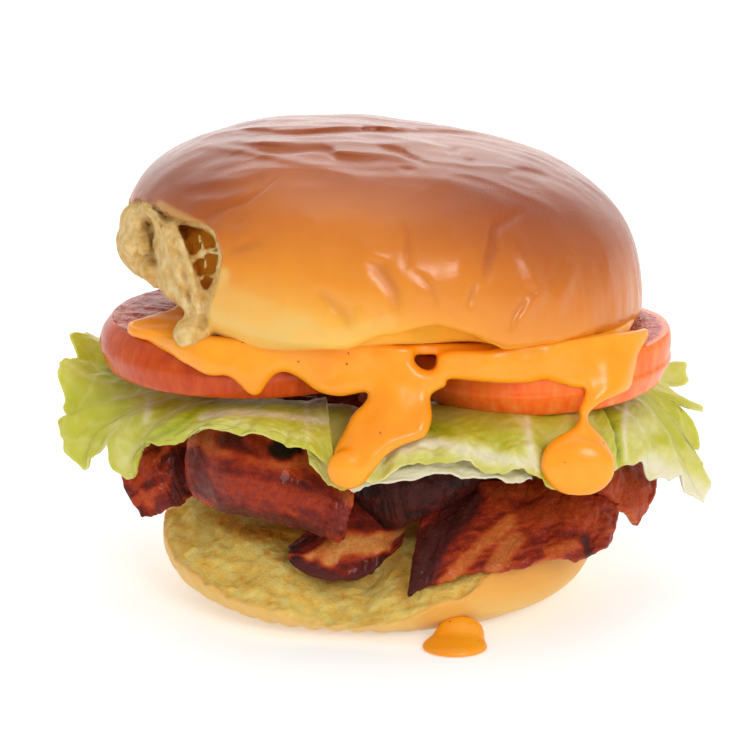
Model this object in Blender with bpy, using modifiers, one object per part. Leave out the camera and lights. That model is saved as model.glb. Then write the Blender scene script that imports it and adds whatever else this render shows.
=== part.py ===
"""A BLT sandwich on a soft milk bun: a torn crown and heel, bacon, lettuce, tomato and sauce.

Metres, +Z up. The origin is the centre of the heel's flat base, and the front of the
sandwich, with its drips, faces -Y. Sizes in the tables below are in millimetres.
"""

import math

import bmesh
import bpy
from mathutils import Matrix, Vector, noise

MM = 0.001
GAP = 0.4  # clear space kept between neighbouring pieces

# Heel, the lower half of the bun
HEEL_RADIUS = 49.3
HEEL_EQUATOR = 14.5
HEEL_TOP = 18.6
HEEL_CENTRE_X = -1.7
HEEL_BASE_CUT = 3.2  # how much of the rounded underside is pressed flat

# Crown, the upper half
CROWN_RADIUS = 58.2
CROWN_CENTRE_X = -0.6
CROWN_EQUATOR = 71.7
CROWN_RISE = 34.3
CROWN_LEAN = (-0.092, -0.050)  # how its widest ring climbs with X and with Y
CROWN_UNDERSIDE = 67.6
# Height of its lower edge, by azimuth in degrees
CROWN_LIP = [
    (0, 64.4),
    (40, 63.0),
    (90, 62.2),
    (120, 65.0),
    (150, 70.0),
    (180, 73.4),
    (200, 73.4),
    (212, 71.0),
    (225, 66.4),
    (238, 67.6),
    (250, 68.8),
    (262, 69.8),
    (270, 73.0),
    (282, 75.0),
    (290, 72.4),
    (298, 68.2),
    (312, 67.4),
    (330, 66.2),
    (350, 64.8),
    (360, 64.4),
]

# Tomato slices: the middle of the lower face, radii at the top, half-way and bottom
TOMATOES = {
    "tomato_left": {"centre": (-30.0, -7.0, 54.6), "radii": (31.8, 34.4, 33.0), "thick": 10.6, "tilt": 0.0},
    "tomato_right": {"centre": (35.4, -12.5, 50.6), "radii": (29.2, 28.6, 26.0), "thick": 11.6, "tilt": 4.0},
    "tomato_back": {"centre": (12.0, 36.0, 52.6), "radii": (22.0, 23.4, 22.4), "thick": 9.4, "tilt": 0.0},
}

BACON_THICK = 1.9
LEAF_THICK = 1.1

# Each strip of bacon: its upper edge, middle line and lower edge at stations along it
BACON = {
    "bacon_left": [
        ((-58.8, -13, 30.5), (-57.5, -15.5, 25.0), (-54.0, -15, 19.8)),
        ((-52.0, -13, 37.0), (-51.0, -17.0, 29.5), (-47.5, -18, 22.6)),
        ((-44.0, -9, 41.0), (-43.5, -13.0, 33.5), (-41.0, -14, 26.0)),
        ((-30.0, 5, 41.0), (-30.0, 1.0, 33.5), (-30.0, -1, 26.0)),
        ((-16.0, 18, 39.0), (-17.0, 15.0, 32.0), (-18.0, 13, 25.0)),
    ],
    "bacon_fold": [
        ((-33.0, -12, 43.0), (-37.0, -13.0, 35.0), (-36.0, -12, 27.5)),
        ((-41.0, -20, 43.5), (-43.5, -23.0, 35.0), (-41.5, -21, 27.0)),
        ((-33.0, -30, 45.0), (-33.5, -37.0, 36.0), (-33.0, -31, 26.5)),
        ((-21.0, -33, 43.0), (-22.0, -40.5, 33.5), (-21.0, -35, 24.3)),
        ((-11.5, -36, 37.5), (-12.5, -42.0, 30.0), (-13.0, -37, 22.4)),
        ((-7.2, -37, 33.5), (-8.0, -41.0, 28.3), (-10.0, -38, 22.4)),
    ],
    "bacon_curl": [
        ((-21.5, -30.0, 17.5), (-21.3, -31.0, 16.2), (-21.0, -31.5, 15.0)),
        ((-16.5, -27.0, 22.0), (-16.0, -32.5, 17.5), (-16.5, -35.0, 12.8)),
        ((-10.5, -24.0, 29.0), (-10.0, -32.0, 20.0), (-9.0, -37.5, 11.8)),
        ((-3.5, -23.0, 30.0), (-3.3, -31.0, 21.0), (-3.5, -36.5, 13.3)),
        ((1.5, -21.0, 28.0), (0.5, -28.5, 21.0), (-0.3, -33.0, 16.0)),
        ((6.0, -15.0, 24.0), (4.5, -21.0, 20.5), (3.0, -26.0, 17.0)),
    ],
    "bacon_dark": [
        ((-13.0, -17, 37.0), (-11.0, -21.0, 30.5), (-9.0, -19, 24.5)),
        ((-2.0, -30, 38.5), (-0.5, -33.5, 31.0), (1.5, -31, 22.5)),
        ((6.0, -33, 39.5), (7.0, -37.0, 33.0), (8.0, -35, 26.0)),
        ((16.0, -29, 40.5), (16.5, -33.0, 34.5), (16.5, -30, 29.5)),
        ((27.0, -12, 41.0), (28.0, -14.0, 36.0), (25.0, -12, 31.0)),
        ((29.0, 8, 40.0), (31.0, 8.0, 35.0), (29.0, 8, 30.0)),
        ((20.0, 22, 38.0), (23.0, 24.0, 33.0), (22.0, 23, 28.0)),
    ],
    "bacon_right": [
        ((10.0, -25, 29.5), (7.0, -35.0, 21.0), (4.9, -43.3, 10.2)),
        ((17.0, -24, 30.5), (13.5, -35.5, 23.0), (11.0, -44.0, 13.0)),
        ((24.0, -24, 31.0), (21.0, -35.0, 24.5), (19.0, -43.3, 16.2)),
        ((32.0, -22, 31.0), (29.0, -34.0, 25.0), (27.5, -43.3, 17.2)),
        ((39.0, -19, 31.0), (37.0, -31.0, 25.5), (36.0, -41.0, 18.2)),
        ((46.0, -13, 30.0), (46.0, -25.0, 25.0), (43.5, -38.0, 17.0)),
        ((51.0, -6, 28.0), (52.5, -17.0, 23.5), (48.7, -31.0, 18.0)),
    ],
    "bacon_right_end": [
        ((2.0, 24, 41.5), (-2.0, 14.0, 42.5), (-6.0, 4, 41.5)),
        ((15.0, 14, 42.5), (12.0, 3.0, 43.0), (9.0, -9, 42.0)),
        ((32.0, 3, 40.0), (31.0, -8.0, 42.5), (29.0, -20, 40.0)),
        ((44.0, -1, 37.0), (43.5, -12.0, 38.5), (40.0, -25, 33.0)),
        ((54.0, -1, 33.0), (53.0, -10.0, 31.5), (50.5, -20, 25.0)),
        ((62.0, -1, 27.5), (61.0, -7.0, 23.0), (57.0, -13, 17.5)),
    ],
    "bacon_back": [
        ((-42.0, 4, 40.0), (-45.0, 5.0, 30.0), (-42.0, 5, 20.5)),
        ((-40.0, 20, 42.0), (-45.0, 22.0, 31.0), (-40.0, 20, 20.0)),
        ((-30.0, 28, 42.5), (-33.0, 32.0, 32.0), (-30.0, 29, 20.0)),
        ((-20.0, 40, 43.0), (-22.0, 46.0, 32.0), (-20.0, 41, 20.0)),
        ((-6.0, 39, 42.0), (-6.0, 43.0, 31.0), (-6.0, 40, 20.0)),
        ((8.0, 45, 42.0), (9.0, 51.0, 31.0), (8.0, 45, 20.0)),
        ((24.0, 38, 41.0), (26.0, 43.0, 31.0), (24.0, 39, 20.0)),
        ((38.0, 30, 40.0), (42.0, 33.0, 30.0), (38.0, 31, 20.0)),
        ((42.0, 14, 38.0), (45.0, 15.0, 29.0), (42.0, 14, 20.0)),
        ((48.0, 4, 36.0), (51.0, 4.0, 28.0), (48.0, 4, 20.5)),
    ],
    "bacon_middle": [
        ((-34.0, 4, 36.0), (-34.0, -4.0, 30.5), (-34.0, -12, 25.0)),
        ((-14.0, 12, 37.5), (-14.0, 2.0, 32.5), (-14.0, -8, 27.5)),
        ((8.0, 16, 33.5), (8.0, 4.0, 29.5), (8.0, -10, 25.5)),
        ((30.0, 12, 31.5), (30.0, 2.0, 28.5), (30.0, -10, 25.5)),
        ((44.0, 8, 27.5), (44.0, 0.0, 25.5), (44.0, -9, 23.5)),
    ],
}

# Each leaf: its inner line under the tomato, middle line and free rim, with the ruffle's
# height at the rim and the number of its waves
LEAVES = {
    "lettuce_left": {
        "ruffle": (2.6, 9.0),
        "stations": [
            ((-30, 22, 49.0), (-48, 26, 52.0), (-57, 30, 49.0)),
            ((-36, 12, 49.0), (-55, 13, 52.5), (-66, 13, 54.0)),
            ((-38, 2, 49.5), (-58, 2, 49.5), (-72.0, 0, 55.0)),
            ((-38, -8, 49.5), (-60, -9, 46.5), (-73.0, -7, 44.0)),
            ((-36, -14, 49.5), (-58, -15, 45.5), (-71.5, -13, 34.5)),
            ((-34, -18, 49.5), (-52, -24, 46.0), (-60.0, -21, 32.5)),
            ((-32, -21, 49.8), (-43, -34, 49.0), (-50.0, -31, 41.0)),
            ((-29, -23, 50.0), (-33, -40, 51.5), (-38.0, -42, 48.0)),
            ((-25, -24, 50.0), (-25, -41, 51.5), (-27.0, -47, 48.0)),
            ((-19, -24, 49.5), (-19, -42, 50.5), (-18.0, -48.5, 45.5)),
            ((-13, -25, 49.3), (-12, -43, 49.6), (-11.0, -50.0, 42.0)),
        ],
    },
    "lettuce_front": {
        "ruffle": (0.9, 5.0),
        "stations": [
            ((-17, -24, 47.0), (-17.5, -40, 47.0), (-16.0, -45.5, 40.5)),
            ((-8, -25, 46.8), (-7.5, -42, 46.8), (-8.8, -48.5, 36.8)),
            ((0, -25, 46.5), (0.5, -44, 47.0), (0.0, -50, 40.5)),
            ((9, -25, 46.0), (10.0, -44, 47.0), (11.0, -51, 44.0)),
            ((20, -24, 46.0), (20.5, -43, 47.0), (20.4, -50, 42.0)),
            ((30, -22, 46.0), (31.0, -41, 46.5), (31.2, -49, 39.5)),
            ((38, -18, 46.0), (41.0, -37, 46.0), (41.1, -46, 36.5)),
            ((43, -12, 46.5), (48.0, -31, 46.0), (50.5, -36, 37.5)),
        ],
    },
    "lettuce_under": {
        "ruffle": (0.5, 4.0),
        "stations": [
            ((-12, -25, 44.5), (-10, -40, 43.5), (-8.8, -46.5, 35.8)),
            ((-3, -26, 44.0), (-3, -41, 43.5), (-2.0, -48.0, 37.5)),
            ((10, -26, 43.5), (11, -42, 43.8), (11.5, -48.5, 40.0)),
            ((22, -25, 43.5), (22, -41, 43.3), (22.0, -47.5, 38.5)),
            ((30, -23, 43.3), (31, -38, 42.3), (31.5, -45.5, 37.5)),
        ],
    },
    "lettuce_right": {
        "ruffle": (1.8, 6.0),
        "stations": [
            ((46, -18, 46.5), (54, -26, 43.5), (56.5, -26, 34.5)),
            ((48, -12, 47.0), (58, -17, 43.0), (63.0, -18, 30.5)),
            ((49, -6, 47.5), (61, -10, 43.5), (72.5, -8, 22.5)),
            ((49, 0, 48.0), (60, -3, 45.0), (72.5, -2, 33.0)),
            ((49, 6, 48.5), (59, 4, 47.0), (71.5, 5, 41.5)),
            ((48, 12, 48.5), (57, 12, 48.5), (66.0, 15, 47.5)),
            ((44, 20, 48.5), (54, 23, 49.5), (62.0, 27, 46.0)),
        ],
    },
    "lettuce_back": {
        "ruffle": (2.4, 9.0),
        "stations": [
            ((36, 22, 48.5), (44, 34, 52.0), (50.0, 42, 48.0)),
            ((24, 26, 48.5), (29, 41, 53.0), (33.0, 54, 52.0)),
            ((10, 28, 48.5), (12, 44, 53.0), (13.0, 59, 48.0)),
            ((-6, 28, 48.5), (-7, 44, 53.5), (-8.0, 59, 53.0)),
            ((-20, 28, 48.5), (-26, 41, 53.0), (-31.0, 54, 48.5)),
            ((-28, 30, 46.0), (-40, 38, 50.0), (-49.0, 43, 45.0)),
        ],
    },
}

# The sauce's front skirt: upper line under the crown, middle line and wavy lower edge
SAUCE_SKIRT = [
    ((-52, -14, 66.6), (-54, -19, 66.2), (-55.5, -21, 65.8)),
    ((-46, -29, 66.8), (-47, -35, 66.6), (-46.5, -39, 65.6)),
    ((-39, -33, 66.8), (-40, -41, 66.2), (-40.0, -43, 62.0)),
    ((-34, -35, 66.8), (-35, -42, 66.0), (-34.6, -44, 63.0)),
    ((-29, -35, 66.8), (-29, -43, 64.5), (-29.2, -44, 58.5)),
    ((-22, -36, 66.8), (-22, -43, 66.2), (-21.7, -44, 63.2)),
    ((-13, -37, 66.6), (-13, -43, 64.5), (-13.1, -44.5, 57.8)),
    ((-4, -38, 66.4), (-4, -44, 63.0), (-3.0, -45.5, 55.0)),
    ((6, -38, 66.0), (6, -44, 62.0), (6.5, -46, 54.0)),
    ((13, -38, 66.0), (13, -44, 65.5), (13.0, -46, 61.8)),
    ((24, -37, 65.6), (24, -44, 65.2), (24.0, -45, 60.6)),
    ((34, -35, 65.2), (35, -42, 65.0), (35.0, -43, 61.4)),
    ((43, -30, 65.0), (44, -37, 63.5), (44.0, -40, 57.5)),
    ((51, -24, 65.4), (54, -31, 63.4), (55.5, -34, 57.0)),
    ((56, -12, 65.6), (59, -15, 65.2), (60.0, -17, 64.0)),
]
SAUCE_THICK = 3.2
SAUCE_LAYER = {"radius": 47.0, "low": 65.7, "high": 67.3, "centre": (-2.0, 0.0)}
# Runs of sauce: the middle of each, then its half width and half thickness
DRIPS = {
    "centre": [
        ((3.5, -46.0, 58.0), 8.0, 2.4),
        ((2.2, -48.0, 53.5), 7.6, 2.6),
        ((-1.0, -50.5, 49.4), 6.0, 2.8),
        ((-4.6, -52.3, 45.8), 5.8, 3.2),
        ((-6.6, -52.6, 43.2), 4.4, 3.0),
    ],
    "centre_lobe": [((6.5, -49.0, 53.0), 3.4, 2.4), ((5.6, -49.8, 51.4), 3.2, 2.4)],
    "right": [
        ((54.0, -34.5, 61.5), 6.0, 2.0),
        ((50.0, -40.5, 56.0), 4.6, 2.0),
        ((46.6, -44.4, 52.2), 2.5, 1.9),
        ((43.8, -46.4, 48.8), 3.0, 2.2),
        ((42.2, -48.2, 45.6), 6.6, 3.2),
        ((41.6, -48.8, 42.6), 8.3, 3.8),
        ((41.8, -48.2, 39.8), 6.2, 3.4),
    ],
}
PUDDLE = {"centre": (15.2, -46.8), "size": (7.3, 6.8, 6.6)}


def clear_scene():
    for thing in list(bpy.data.objects):
        bpy.data.objects.remove(thing, do_unlink=True)


def new_object(name, mesh, collection):
    thing = bpy.data.objects.new(name, mesh)
    collection.objects.link(thing)
    return thing


def material(name, colour, roughness):
    made = bpy.data.materials.new(name)
    made.use_nodes = True
    shader = made.node_tree.nodes["Principled BSDF"]
    shader.inputs["Base Color"].default_value = (*colour, 1.0)
    shader.inputs["Roughness"].default_value = roughness
    return made


def bumps(x, y, z, size, seed):
    """Smooth noise from -1 to 1, with bumps about `size` millimetres apart."""
    return noise.noise(Vector((x / size + seed, y / size - seed, z / size)))


def wave_through(values, t):
    """A smooth curve through equally spaced vectors, read at t from 0 to 1."""
    place = min(max(t, 0.0), 1.0) * (len(values) - 1)
    i = min(int(place), len(values) - 2)
    f = place - i
    before = values[max(i - 1, 0)]
    after = values[min(i + 2, len(values) - 1)]
    a, b = values[i], values[i + 1]
    return 0.5 * (
        2 * a
        + (b - before) * f
        + (2 * before - 5 * a + 4 * b - after) * f**2
        + (3 * (a - b) + after - before) * f**3
    )


def evaluated_mesh(thing):
    """The object's mesh with its modifiers applied, in world space."""
    graph = bpy.context.evaluated_depsgraph_get()
    graph.update()
    mesh = bpy.data.meshes.new_from_object(thing.evaluated_get(graph))
    mesh.transform(thing.matrix_world)
    return mesh


def replace_mesh(thing, mesh):
    thing.modifiers.clear()
    thing.data = mesh
    thing.matrix_world.identity()


def keep_largest_island(mesh):
    """Drops the loose scraps that a cut leaves."""
    shape = bmesh.new()
    shape.from_mesh(mesh)
    unseen = set(shape.verts)
    islands = []
    while unseen:
        start = unseen.pop()
        island, front = {start}, [start]
        while front:
            for edge in front.pop().link_edges:
                for vert in edge.verts:
                    if vert in unseen:
                        unseen.discard(vert)
                        island.add(vert)
                        front.append(vert)
        islands.append(island)
    largest = max(islands, key=len)
    bmesh.ops.delete(shape, geom=[v for v in shape.verts if v not in largest], context="VERTS")
    shape.to_mesh(mesh)
    shape.free()


def cut(thing, cutter, solver="EXACT"):
    """Takes the cutter's shape out of the object."""
    boolean = thing.modifiers.new("cut", "BOOLEAN")
    boolean.operation = "DIFFERENCE"
    boolean.object = cutter
    boolean.solver = solver
    mesh = evaluated_mesh(thing)
    keep_largest_island(mesh)
    replace_mesh(thing, mesh)


def carve(thing, neighbours, helpers, gap=GAP):
    """Cuts the object back so that it stays clear of its neighbours."""
    for neighbour in neighbours:
        cutter = new_object("cutter", evaluated_mesh(neighbour), helpers)
        swell = cutter.modifiers.new("swell", "DISPLACE")
        swell.mid_level = 0.0
        swell.strength = gap * MM
        cut(thing, cutter)
        bpy.data.objects.remove(cutter, do_unlink=True)


def round_body(name, columns, rows, place, collection):
    """A sphere whose points are moved to place(azimuth, latitude)."""
    shape = bmesh.new()
    bmesh.ops.create_uvsphere(shape, u_segments=columns, v_segments=rows, radius=1.0)
    for vert in shape.verts:
        azimuth = math.atan2(vert.co.y, vert.co.x)
        latitude = math.asin(max(-1.0, min(1.0, vert.co.z)))
        vert.co = place(azimuth, latitude) * MM
    mesh = bpy.data.meshes.new(name)
    shape.to_mesh(mesh)
    shape.free()
    return new_object(name, mesh, collection)


def oval(latitude, power):
    """Radius and height, as shares, on a rounded box profile of that power."""
    wide, high = math.cos(latitude), abs(math.sin(latitude))
    reach = (wide**power + high**power) ** (-1.0 / power)
    return wide * reach, high * reach


def heel_point(azimuth, latitude):
    upper = latitude > 0
    wide, high = oval(latitude, 4.0 if upper else 2.85)
    rise = HEEL_TOP - HEEL_EQUATOR if upper else -(HEEL_EQUATOR + HEEL_BASE_CUT)
    radius = HEEL_RADIUS * (1 + 0.008 * math.cos(3 * azimuth + 0.7)) * wide
    x = HEEL_CENTRE_X + radius * math.cos(azimuth)
    y = radius * math.sin(azimuth)
    z = HEEL_EQUATOR + rise * high
    return Vector((x, y, max(z, 0.0)))


# Height of the heel's crust where it is torn, by azimuth in degrees. It is whole elsewhere
TORN_LIP = [
    (172, 30.0),
    (180, 15.0),
    (200, 12.0),
    (218, 9.0),
    (232, 6.5),
    (244, 3.4),
    (256, 1.7),
    (266, 2.0),
    (276, 6.5),
    (284, 9.5),
    (293, 11.5),
    (300, 15.5),
    (308, 30.0),
]
TEAR_SLOPE = 0.40  # rise of the torn crumb for each millimetre inwards


def torn_lip(azimuth):
    degrees = math.degrees(azimuth) % 360
    if not TORN_LIP[0][0] < degrees < TORN_LIP[-1][0]:
        return TORN_LIP[0][1]
    return read_table(TORN_LIP, degrees)


def heel_tear_height(x, y):
    """The torn crumb's height above the base: low at the crust, rising inwards."""
    reach = math.hypot(x - HEEL_CENTRE_X, y)
    lip = torn_lip(math.atan2(y, x - HEEL_CENTRE_X))
    inwards = max(HEEL_RADIUS - 2.0 - reach, 0.0)
    rough = 1.0 * bumps(x, y, 0, 8.0, 3.0) + 0.5 * bumps(x, y, 0, 3.5, 9.0)
    return max(lip + inwards * TEAR_SLOPE + rough, 0.8)


def make_heel(collection, helpers):
    heel = round_body("heel", 40, 14, heel_point, collection)
    shape = bmesh.new()
    side, cells = 58.0, 28
    bmesh.ops.create_grid(shape, x_segments=cells, y_segments=cells, size=side)
    for vert in shape.verts:
        vert.co.z = heel_tear_height(vert.co.x, vert.co.y)
        vert.co *= MM
    lid = bmesh.ops.extrude_face_region(shape, geom=shape.faces[:])["geom"]
    for item in lid:
        if isinstance(item, bmesh.types.BMVert):
            item.co.z = 60 * MM
    bmesh.ops.recalc_face_normals(shape, faces=shape.faces)
    mesh = bpy.data.meshes.new("heel_tear")
    shape.to_mesh(mesh)
    shape.free()
    tear = new_object("heel_tear", mesh, helpers)
    cut(heel, tear)
    bpy.data.objects.remove(tear, do_unlink=True)
    return heel


# Creases pressed into the crown: ends as (azimuth in degrees, height above the equator),
# then depth and width
SIDE_CREASES = [
    ((269, 22), (270, 8), 0.7, 1.6),
    ((297, 22), (290, 6), 1.5, 2.6),
    ((301, 10), (296, -4), 1.0, 2.0),
    ((318, 12), (312, 2), 0.8, 1.8),
    ((284, 8), (284, 0), 0.7, 1.5),
    ((258, 14), (266, 3), 0.8, 2.0),
    ((252, 1), (257, -5), 0.8, 1.6),
    ((246, 25), (228, 16), 0.9, 1.8),
    ((20, 20), (26, 4), 1.0, 2.4),
    ((60, 16), (66, 0), 1.1, 2.4),
    ((95, 20), (88, 2), 1.0, 2.6),
    ((130, 14), (138, 0), 1.0, 2.2),
    ((160, 20), (150, 6), 0.9, 2.4),
]
# Furrows across its top: ends as x, y, then depth and width
TOP_CREASES = [
    ((-40, 26), (26, 29), 1.3, 2.2),
    ((-36, 8), (8, 12), 1.0, 2.2),
    ((-22, -4), (20, 2), 1.1, 2.6),
    ((0, -16), (34, -10), 0.8, 2.2),
    ((22, 18), (44, 8), 0.7, 2.4),
]


def line_dent(px, py, start, end, width):
    """1 on the line between two points, falling to 0 over its width."""
    ex, ey = end[0] - start[0], end[1] - start[1]
    share = ((px - start[0]) * ex + (py - start[1]) * ey) / (ex * ex + ey * ey)
    share = max(0.0, min(1.0, share))
    away = math.hypot(px - start[0] - share * ex, py - start[1] - share * ey)
    taper = math.sqrt(max(0.0, 1 - (2 * share - 1) ** 4))
    return math.exp(-((away / width) ** 2)) * (0.25 + 0.75 * taper)


def crown_dents(azimuth, x, y, height):
    depth = 0.0
    arc = CROWN_RADIUS * azimuth
    round_trip = 2 * math.pi * CROWN_RADIUS
    for start, end, deep, width in SIDE_CREASES:
        a = (CROWN_RADIUS * math.radians(start[0]), start[1])
        b = (CROWN_RADIUS * math.radians(end[0]), end[1])
        near = a[0] + (arc - a[0] + round_trip / 2) % round_trip - round_trip / 2
        depth += deep * line_dent(near, height, a, b, width)
    on_top = max(0.0, min(1.0, (height - 20) / 6))
    for start, end, deep, width in TOP_CREASES:
        depth += on_top * deep * line_dent(x, y, start, end, width)
    return depth


def read_table(table, value):
    """A straight-line reading of (value, result) pairs."""
    for (low, low_result), (high, high_result) in zip(table, table[1:]):
        if value <= high:
            share = (value - low) / (high - low)
            return low_result + (high_result - low_result) * share
    return table[-1][1]


def crown_point(azimuth, latitude):
    upper = latitude > 0
    power = 2.69 + 0.09 * math.cos(azimuth)
    wide, high = oval(latitude, power if upper else 3.2)
    radius = CROWN_RADIUS * (1 + 0.008 * math.cos(2 * azimuth + 0.4)) * wide
    x, y = radius * math.cos(azimuth), radius * math.sin(azimuth)
    widest = CROWN_EQUATOR + CROWN_LEAN[0] * x + CROWN_LEAN[1] * y
    if upper:
        height = CROWN_RISE * high
        z = widest + height
    else:
        lip = read_table(CROWN_LIP, math.degrees(azimuth) % 360)
        inwards = max(0.0, min(1.0, (0.95 - wide) / 0.22))
        lip += (CROWN_UNDERSIDE - lip) * inwards * inwards * (3 - 2 * inwards)
        height = 0.0
        z = widest + (lip - widest) * min(1.0, 1.02 * high)
    dent = crown_dents(azimuth, x, y, height) - 0.5 * bumps(x, y, height, 22.0, 5.0)
    if not upper:
        dent *= wide**4
    outwards = Vector((x * 0.8, y * 0.8, height * 1.2))
    if outwards.length > 0:
        outwards.normalize()
    return Vector((CROWN_CENTRE_X + x, y, z)) - outwards * dent


# What is torn out of the crown: azimuth in degrees, distance from the axis and height of
# the middle, then half sizes along the rim, inwards and upwards
CROWN_TEARS = [
    (210, 66.0, 80.5, (23.5, 15.5, 16.5)),
    (208, 64.0, 63.0, (27.0, 19.0, 12.5)),
    (223, 57.0, 85.0, (4.8, 12.5, 7.6)),
]


def make_crown(collection, helpers):
    crown = round_body("crown", 48, 22, crown_point, collection)
    for i, (azimuth, away, height, size) in enumerate(CROWN_TEARS):
        turn = Matrix.Rotation(math.radians(azimuth), 3, "Z")
        middle = Vector((CROWN_CENTRE_X, 0, height)) + turn @ Vector((away, 0, 0))
        shape = bmesh.new()
        bmesh.ops.create_icosphere(shape, subdivisions=3, radius=1.0)
        for vert in shape.verts:
            reach = turn @ Vector((vert.co.x * size[1], vert.co.y * size[0], vert.co.z * size[2]))
            reach *= 1 + 0.14 * bumps(*(middle + reach), 6.0, 2.0 + i)
            vert.co = (middle + reach) * MM
        mesh = bpy.data.meshes.new("crown_tear")
        shape.to_mesh(mesh)
        shape.free()
        tear = new_object("crown_tear", mesh, helpers)
        cut(crown, tear)
        bpy.data.objects.remove(tear, do_unlink=True)
    return crown


def make_tomato(name, size, collection):
    """A slice turned from its rim's profile, top to bottom."""
    top, middle, bottom = size["radii"]
    thick = size["thick"]
    profile = [
        (0.0, thick),
        (top - 0.8, thick),
        (top, thick - 0.5),
        ((top + middle) / 2 + 0.4, thick * 0.75),
        (middle, thick * 0.45),
        (bottom, 0.5),
        (bottom - 0.8, 0.0),
        (0.0, 0.0),
    ]
    mesh = bpy.data.meshes.new(name)
    points = [(r * MM, 0.0, z * MM) for r, z in profile]
    mesh.from_pydata(points, [(i, i + 1) for i in range(len(points) - 1)], [])
    tomato = new_object(name, mesh, collection)
    turn = tomato.modifiers.new("turn", "SCREW")
    turn.steps = turn.render_steps = 28
    turn.use_merge_vertices = True
    turn.merge_threshold = 0.00005
    tomato.location = Vector(size["centre"]) * MM
    tomato.rotation_euler = (0.0, -math.radians(size["tilt"]), 0.0)
    bpy.context.view_layer.update()
    return tomato


def across(edge_a, middle, edge_b, v):
    """A parabola through three points, read at v from 0 to 1."""
    return edge_a * ((1 - v) * (1 - 2 * v)) + middle * (4 * v * (1 - v)) + edge_b * (v * (2 * v - 1))


def sheet(name, stations, along, wide, thick, shift, collection):
    """A thin solid lofted through stations, with shift(u, v, point) added to each point."""
    lines = [[Vector(station[k]) for station in stations] for k in range(3)]
    shape = bmesh.new()
    bmesh.ops.create_grid(shape, x_segments=along, y_segments=wide, size=0.5)
    for vert in shape.verts:
        u, v = vert.co.x + 0.5, vert.co.y + 0.5
        point = across(*(wave_through(line, u) for line in lines), v)
        vert.co = (point + shift(u, v, point)) * MM
    bmesh.ops.triangulate(shape, faces=shape.faces)
    mesh = bpy.data.meshes.new(name)
    shape.to_mesh(mesh)
    shape.free()
    thing = new_object(name, mesh, collection)
    thicken = thing.modifiers.new("thicken", "SOLIDIFY")
    thicken.thickness = thick * MM
    thicken.offset = 0.0
    return thing


def make_bacon(name, seed, collection):
    """A cooked strip: gently rippled, with ragged ends and edges."""

    def shift(u, v, point):
        ripple = 0.7 * math.sin(9 * u + seed) + 0.5 * bumps(*point, 7.0, seed)
        edge = abs(2 * v - 1) ** 4
        ragged = 0.7 * edge * bumps(*point, 3.0, seed + 4)
        return Vector((0.0, ripple * 0.6, ripple * 0.5 + ragged))

    columns = max(12, 2 * len(BACON[name]))
    return sheet(name, BACON[name], columns, 5, BACON_THICK, shift, collection)


def make_leaf(name, seed, collection):
    """A leaf that lies flat at its inner line and ruffles more and more to its rim."""
    height, waves = LEAVES[name]["ruffle"]
    stations = LEAVES[name]["stations"]

    def shift(u, v, point):
        loose = v * v
        ruffle = height * loose * math.sin(2 * math.pi * waves * u + seed)
        ruffle += 0.5 * height * loose * bumps(*point, 6.0, seed)
        outwards = Vector((point.x, point.y, 0.0)).normalized()
        return outwards * (0.45 * ruffle) + Vector((0.0, 0.0, 0.75 * ruffle))

    columns = 4 * len(stations)
    return sheet(name, stations, columns, 4, LEAF_THICK, shift, collection)


def flat_balls(name, path, helpers):
    """A run of sauce as close-set flattened balls, which the remesh melts together."""
    shape = bmesh.new()
    steps = 5 * (len(path) - 1)
    for i in range(steps + 1):
        t = i / steps
        middle = wave_through([Vector(spot) for spot, _, _ in path], t)
        half = wave_through([Vector((wide, thick, wide)) for _, wide, thick in path], t)
        turn = Matrix.Rotation(math.atan2(middle.y, middle.x) + math.pi / 2, 3, "Z")
        made = bmesh.ops.create_icosphere(shape, subdivisions=2, radius=1.0)["verts"]
        for vert in made:
            reach = Vector((vert.co.x * half.x, vert.co.y * half.y, vert.co.z * half.x * 0.75))
            vert.co = (middle + turn @ reach) * MM
    mesh = bpy.data.meshes.new(name)
    shape.to_mesh(mesh)
    shape.free()
    return new_object(name, mesh, helpers)


def sauce_layer(helpers):
    """The flat layer squeezed between the crown and the tomatoes."""
    size = SAUCE_LAYER

    def place(azimuth, latitude):
        wide, high = oval(latitude, 6.0)
        radius = size["radius"] * wide * (1 + 0.03 * math.sin(7 * azimuth) + 0.02 * math.sin(12 * azimuth))
        x = size["centre"][0] + radius * math.cos(azimuth)
        y = size["centre"][1] + radius * math.sin(azimuth)
        half = (size["high"] - size["low"]) / 2
        return Vector((x, y, size["low"] + half + math.copysign(half * high, latitude)))

    return round_body("layer", 64, 12, place, helpers)


def make_sauce(collection, helpers):
    """The skirt and its drips melted into one body."""

    def still(u, v, point):
        return Vector((0.0, 0.0, 0.3 * bumps(*point, 5.0, 1.0)))

    sources = [
        sheet("skirt", SAUCE_SKIRT, 60, 8, SAUCE_THICK, still, helpers),
        sauce_layer(helpers),
    ]
    for name, path in DRIPS.items():
        sources.append(flat_balls("run_" + name, path, helpers))
    shape = bmesh.new()
    for source in sources:
        shape.from_mesh(evaluated_mesh(source))
        bpy.data.objects.remove(source, do_unlink=True)
    mesh = bpy.data.meshes.new("sauce")
    shape.to_mesh(mesh)
    shape.free()
    sauce = new_object("sauce", mesh, collection)
    melt = sauce.modifiers.new("melt", "REMESH")
    melt.mode = "VOXEL"
    melt.voxel_size = 0.8 * MM
    soften = sauce.modifiers.new("soften", "SMOOTH")
    soften.factor = 0.5
    soften.iterations = 5
    lighten = sauce.modifiers.new("lighten", "DECIMATE")
    lighten.ratio = 0.024
    replace_mesh(sauce, evaluated_mesh(sauce))
    return sauce


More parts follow.
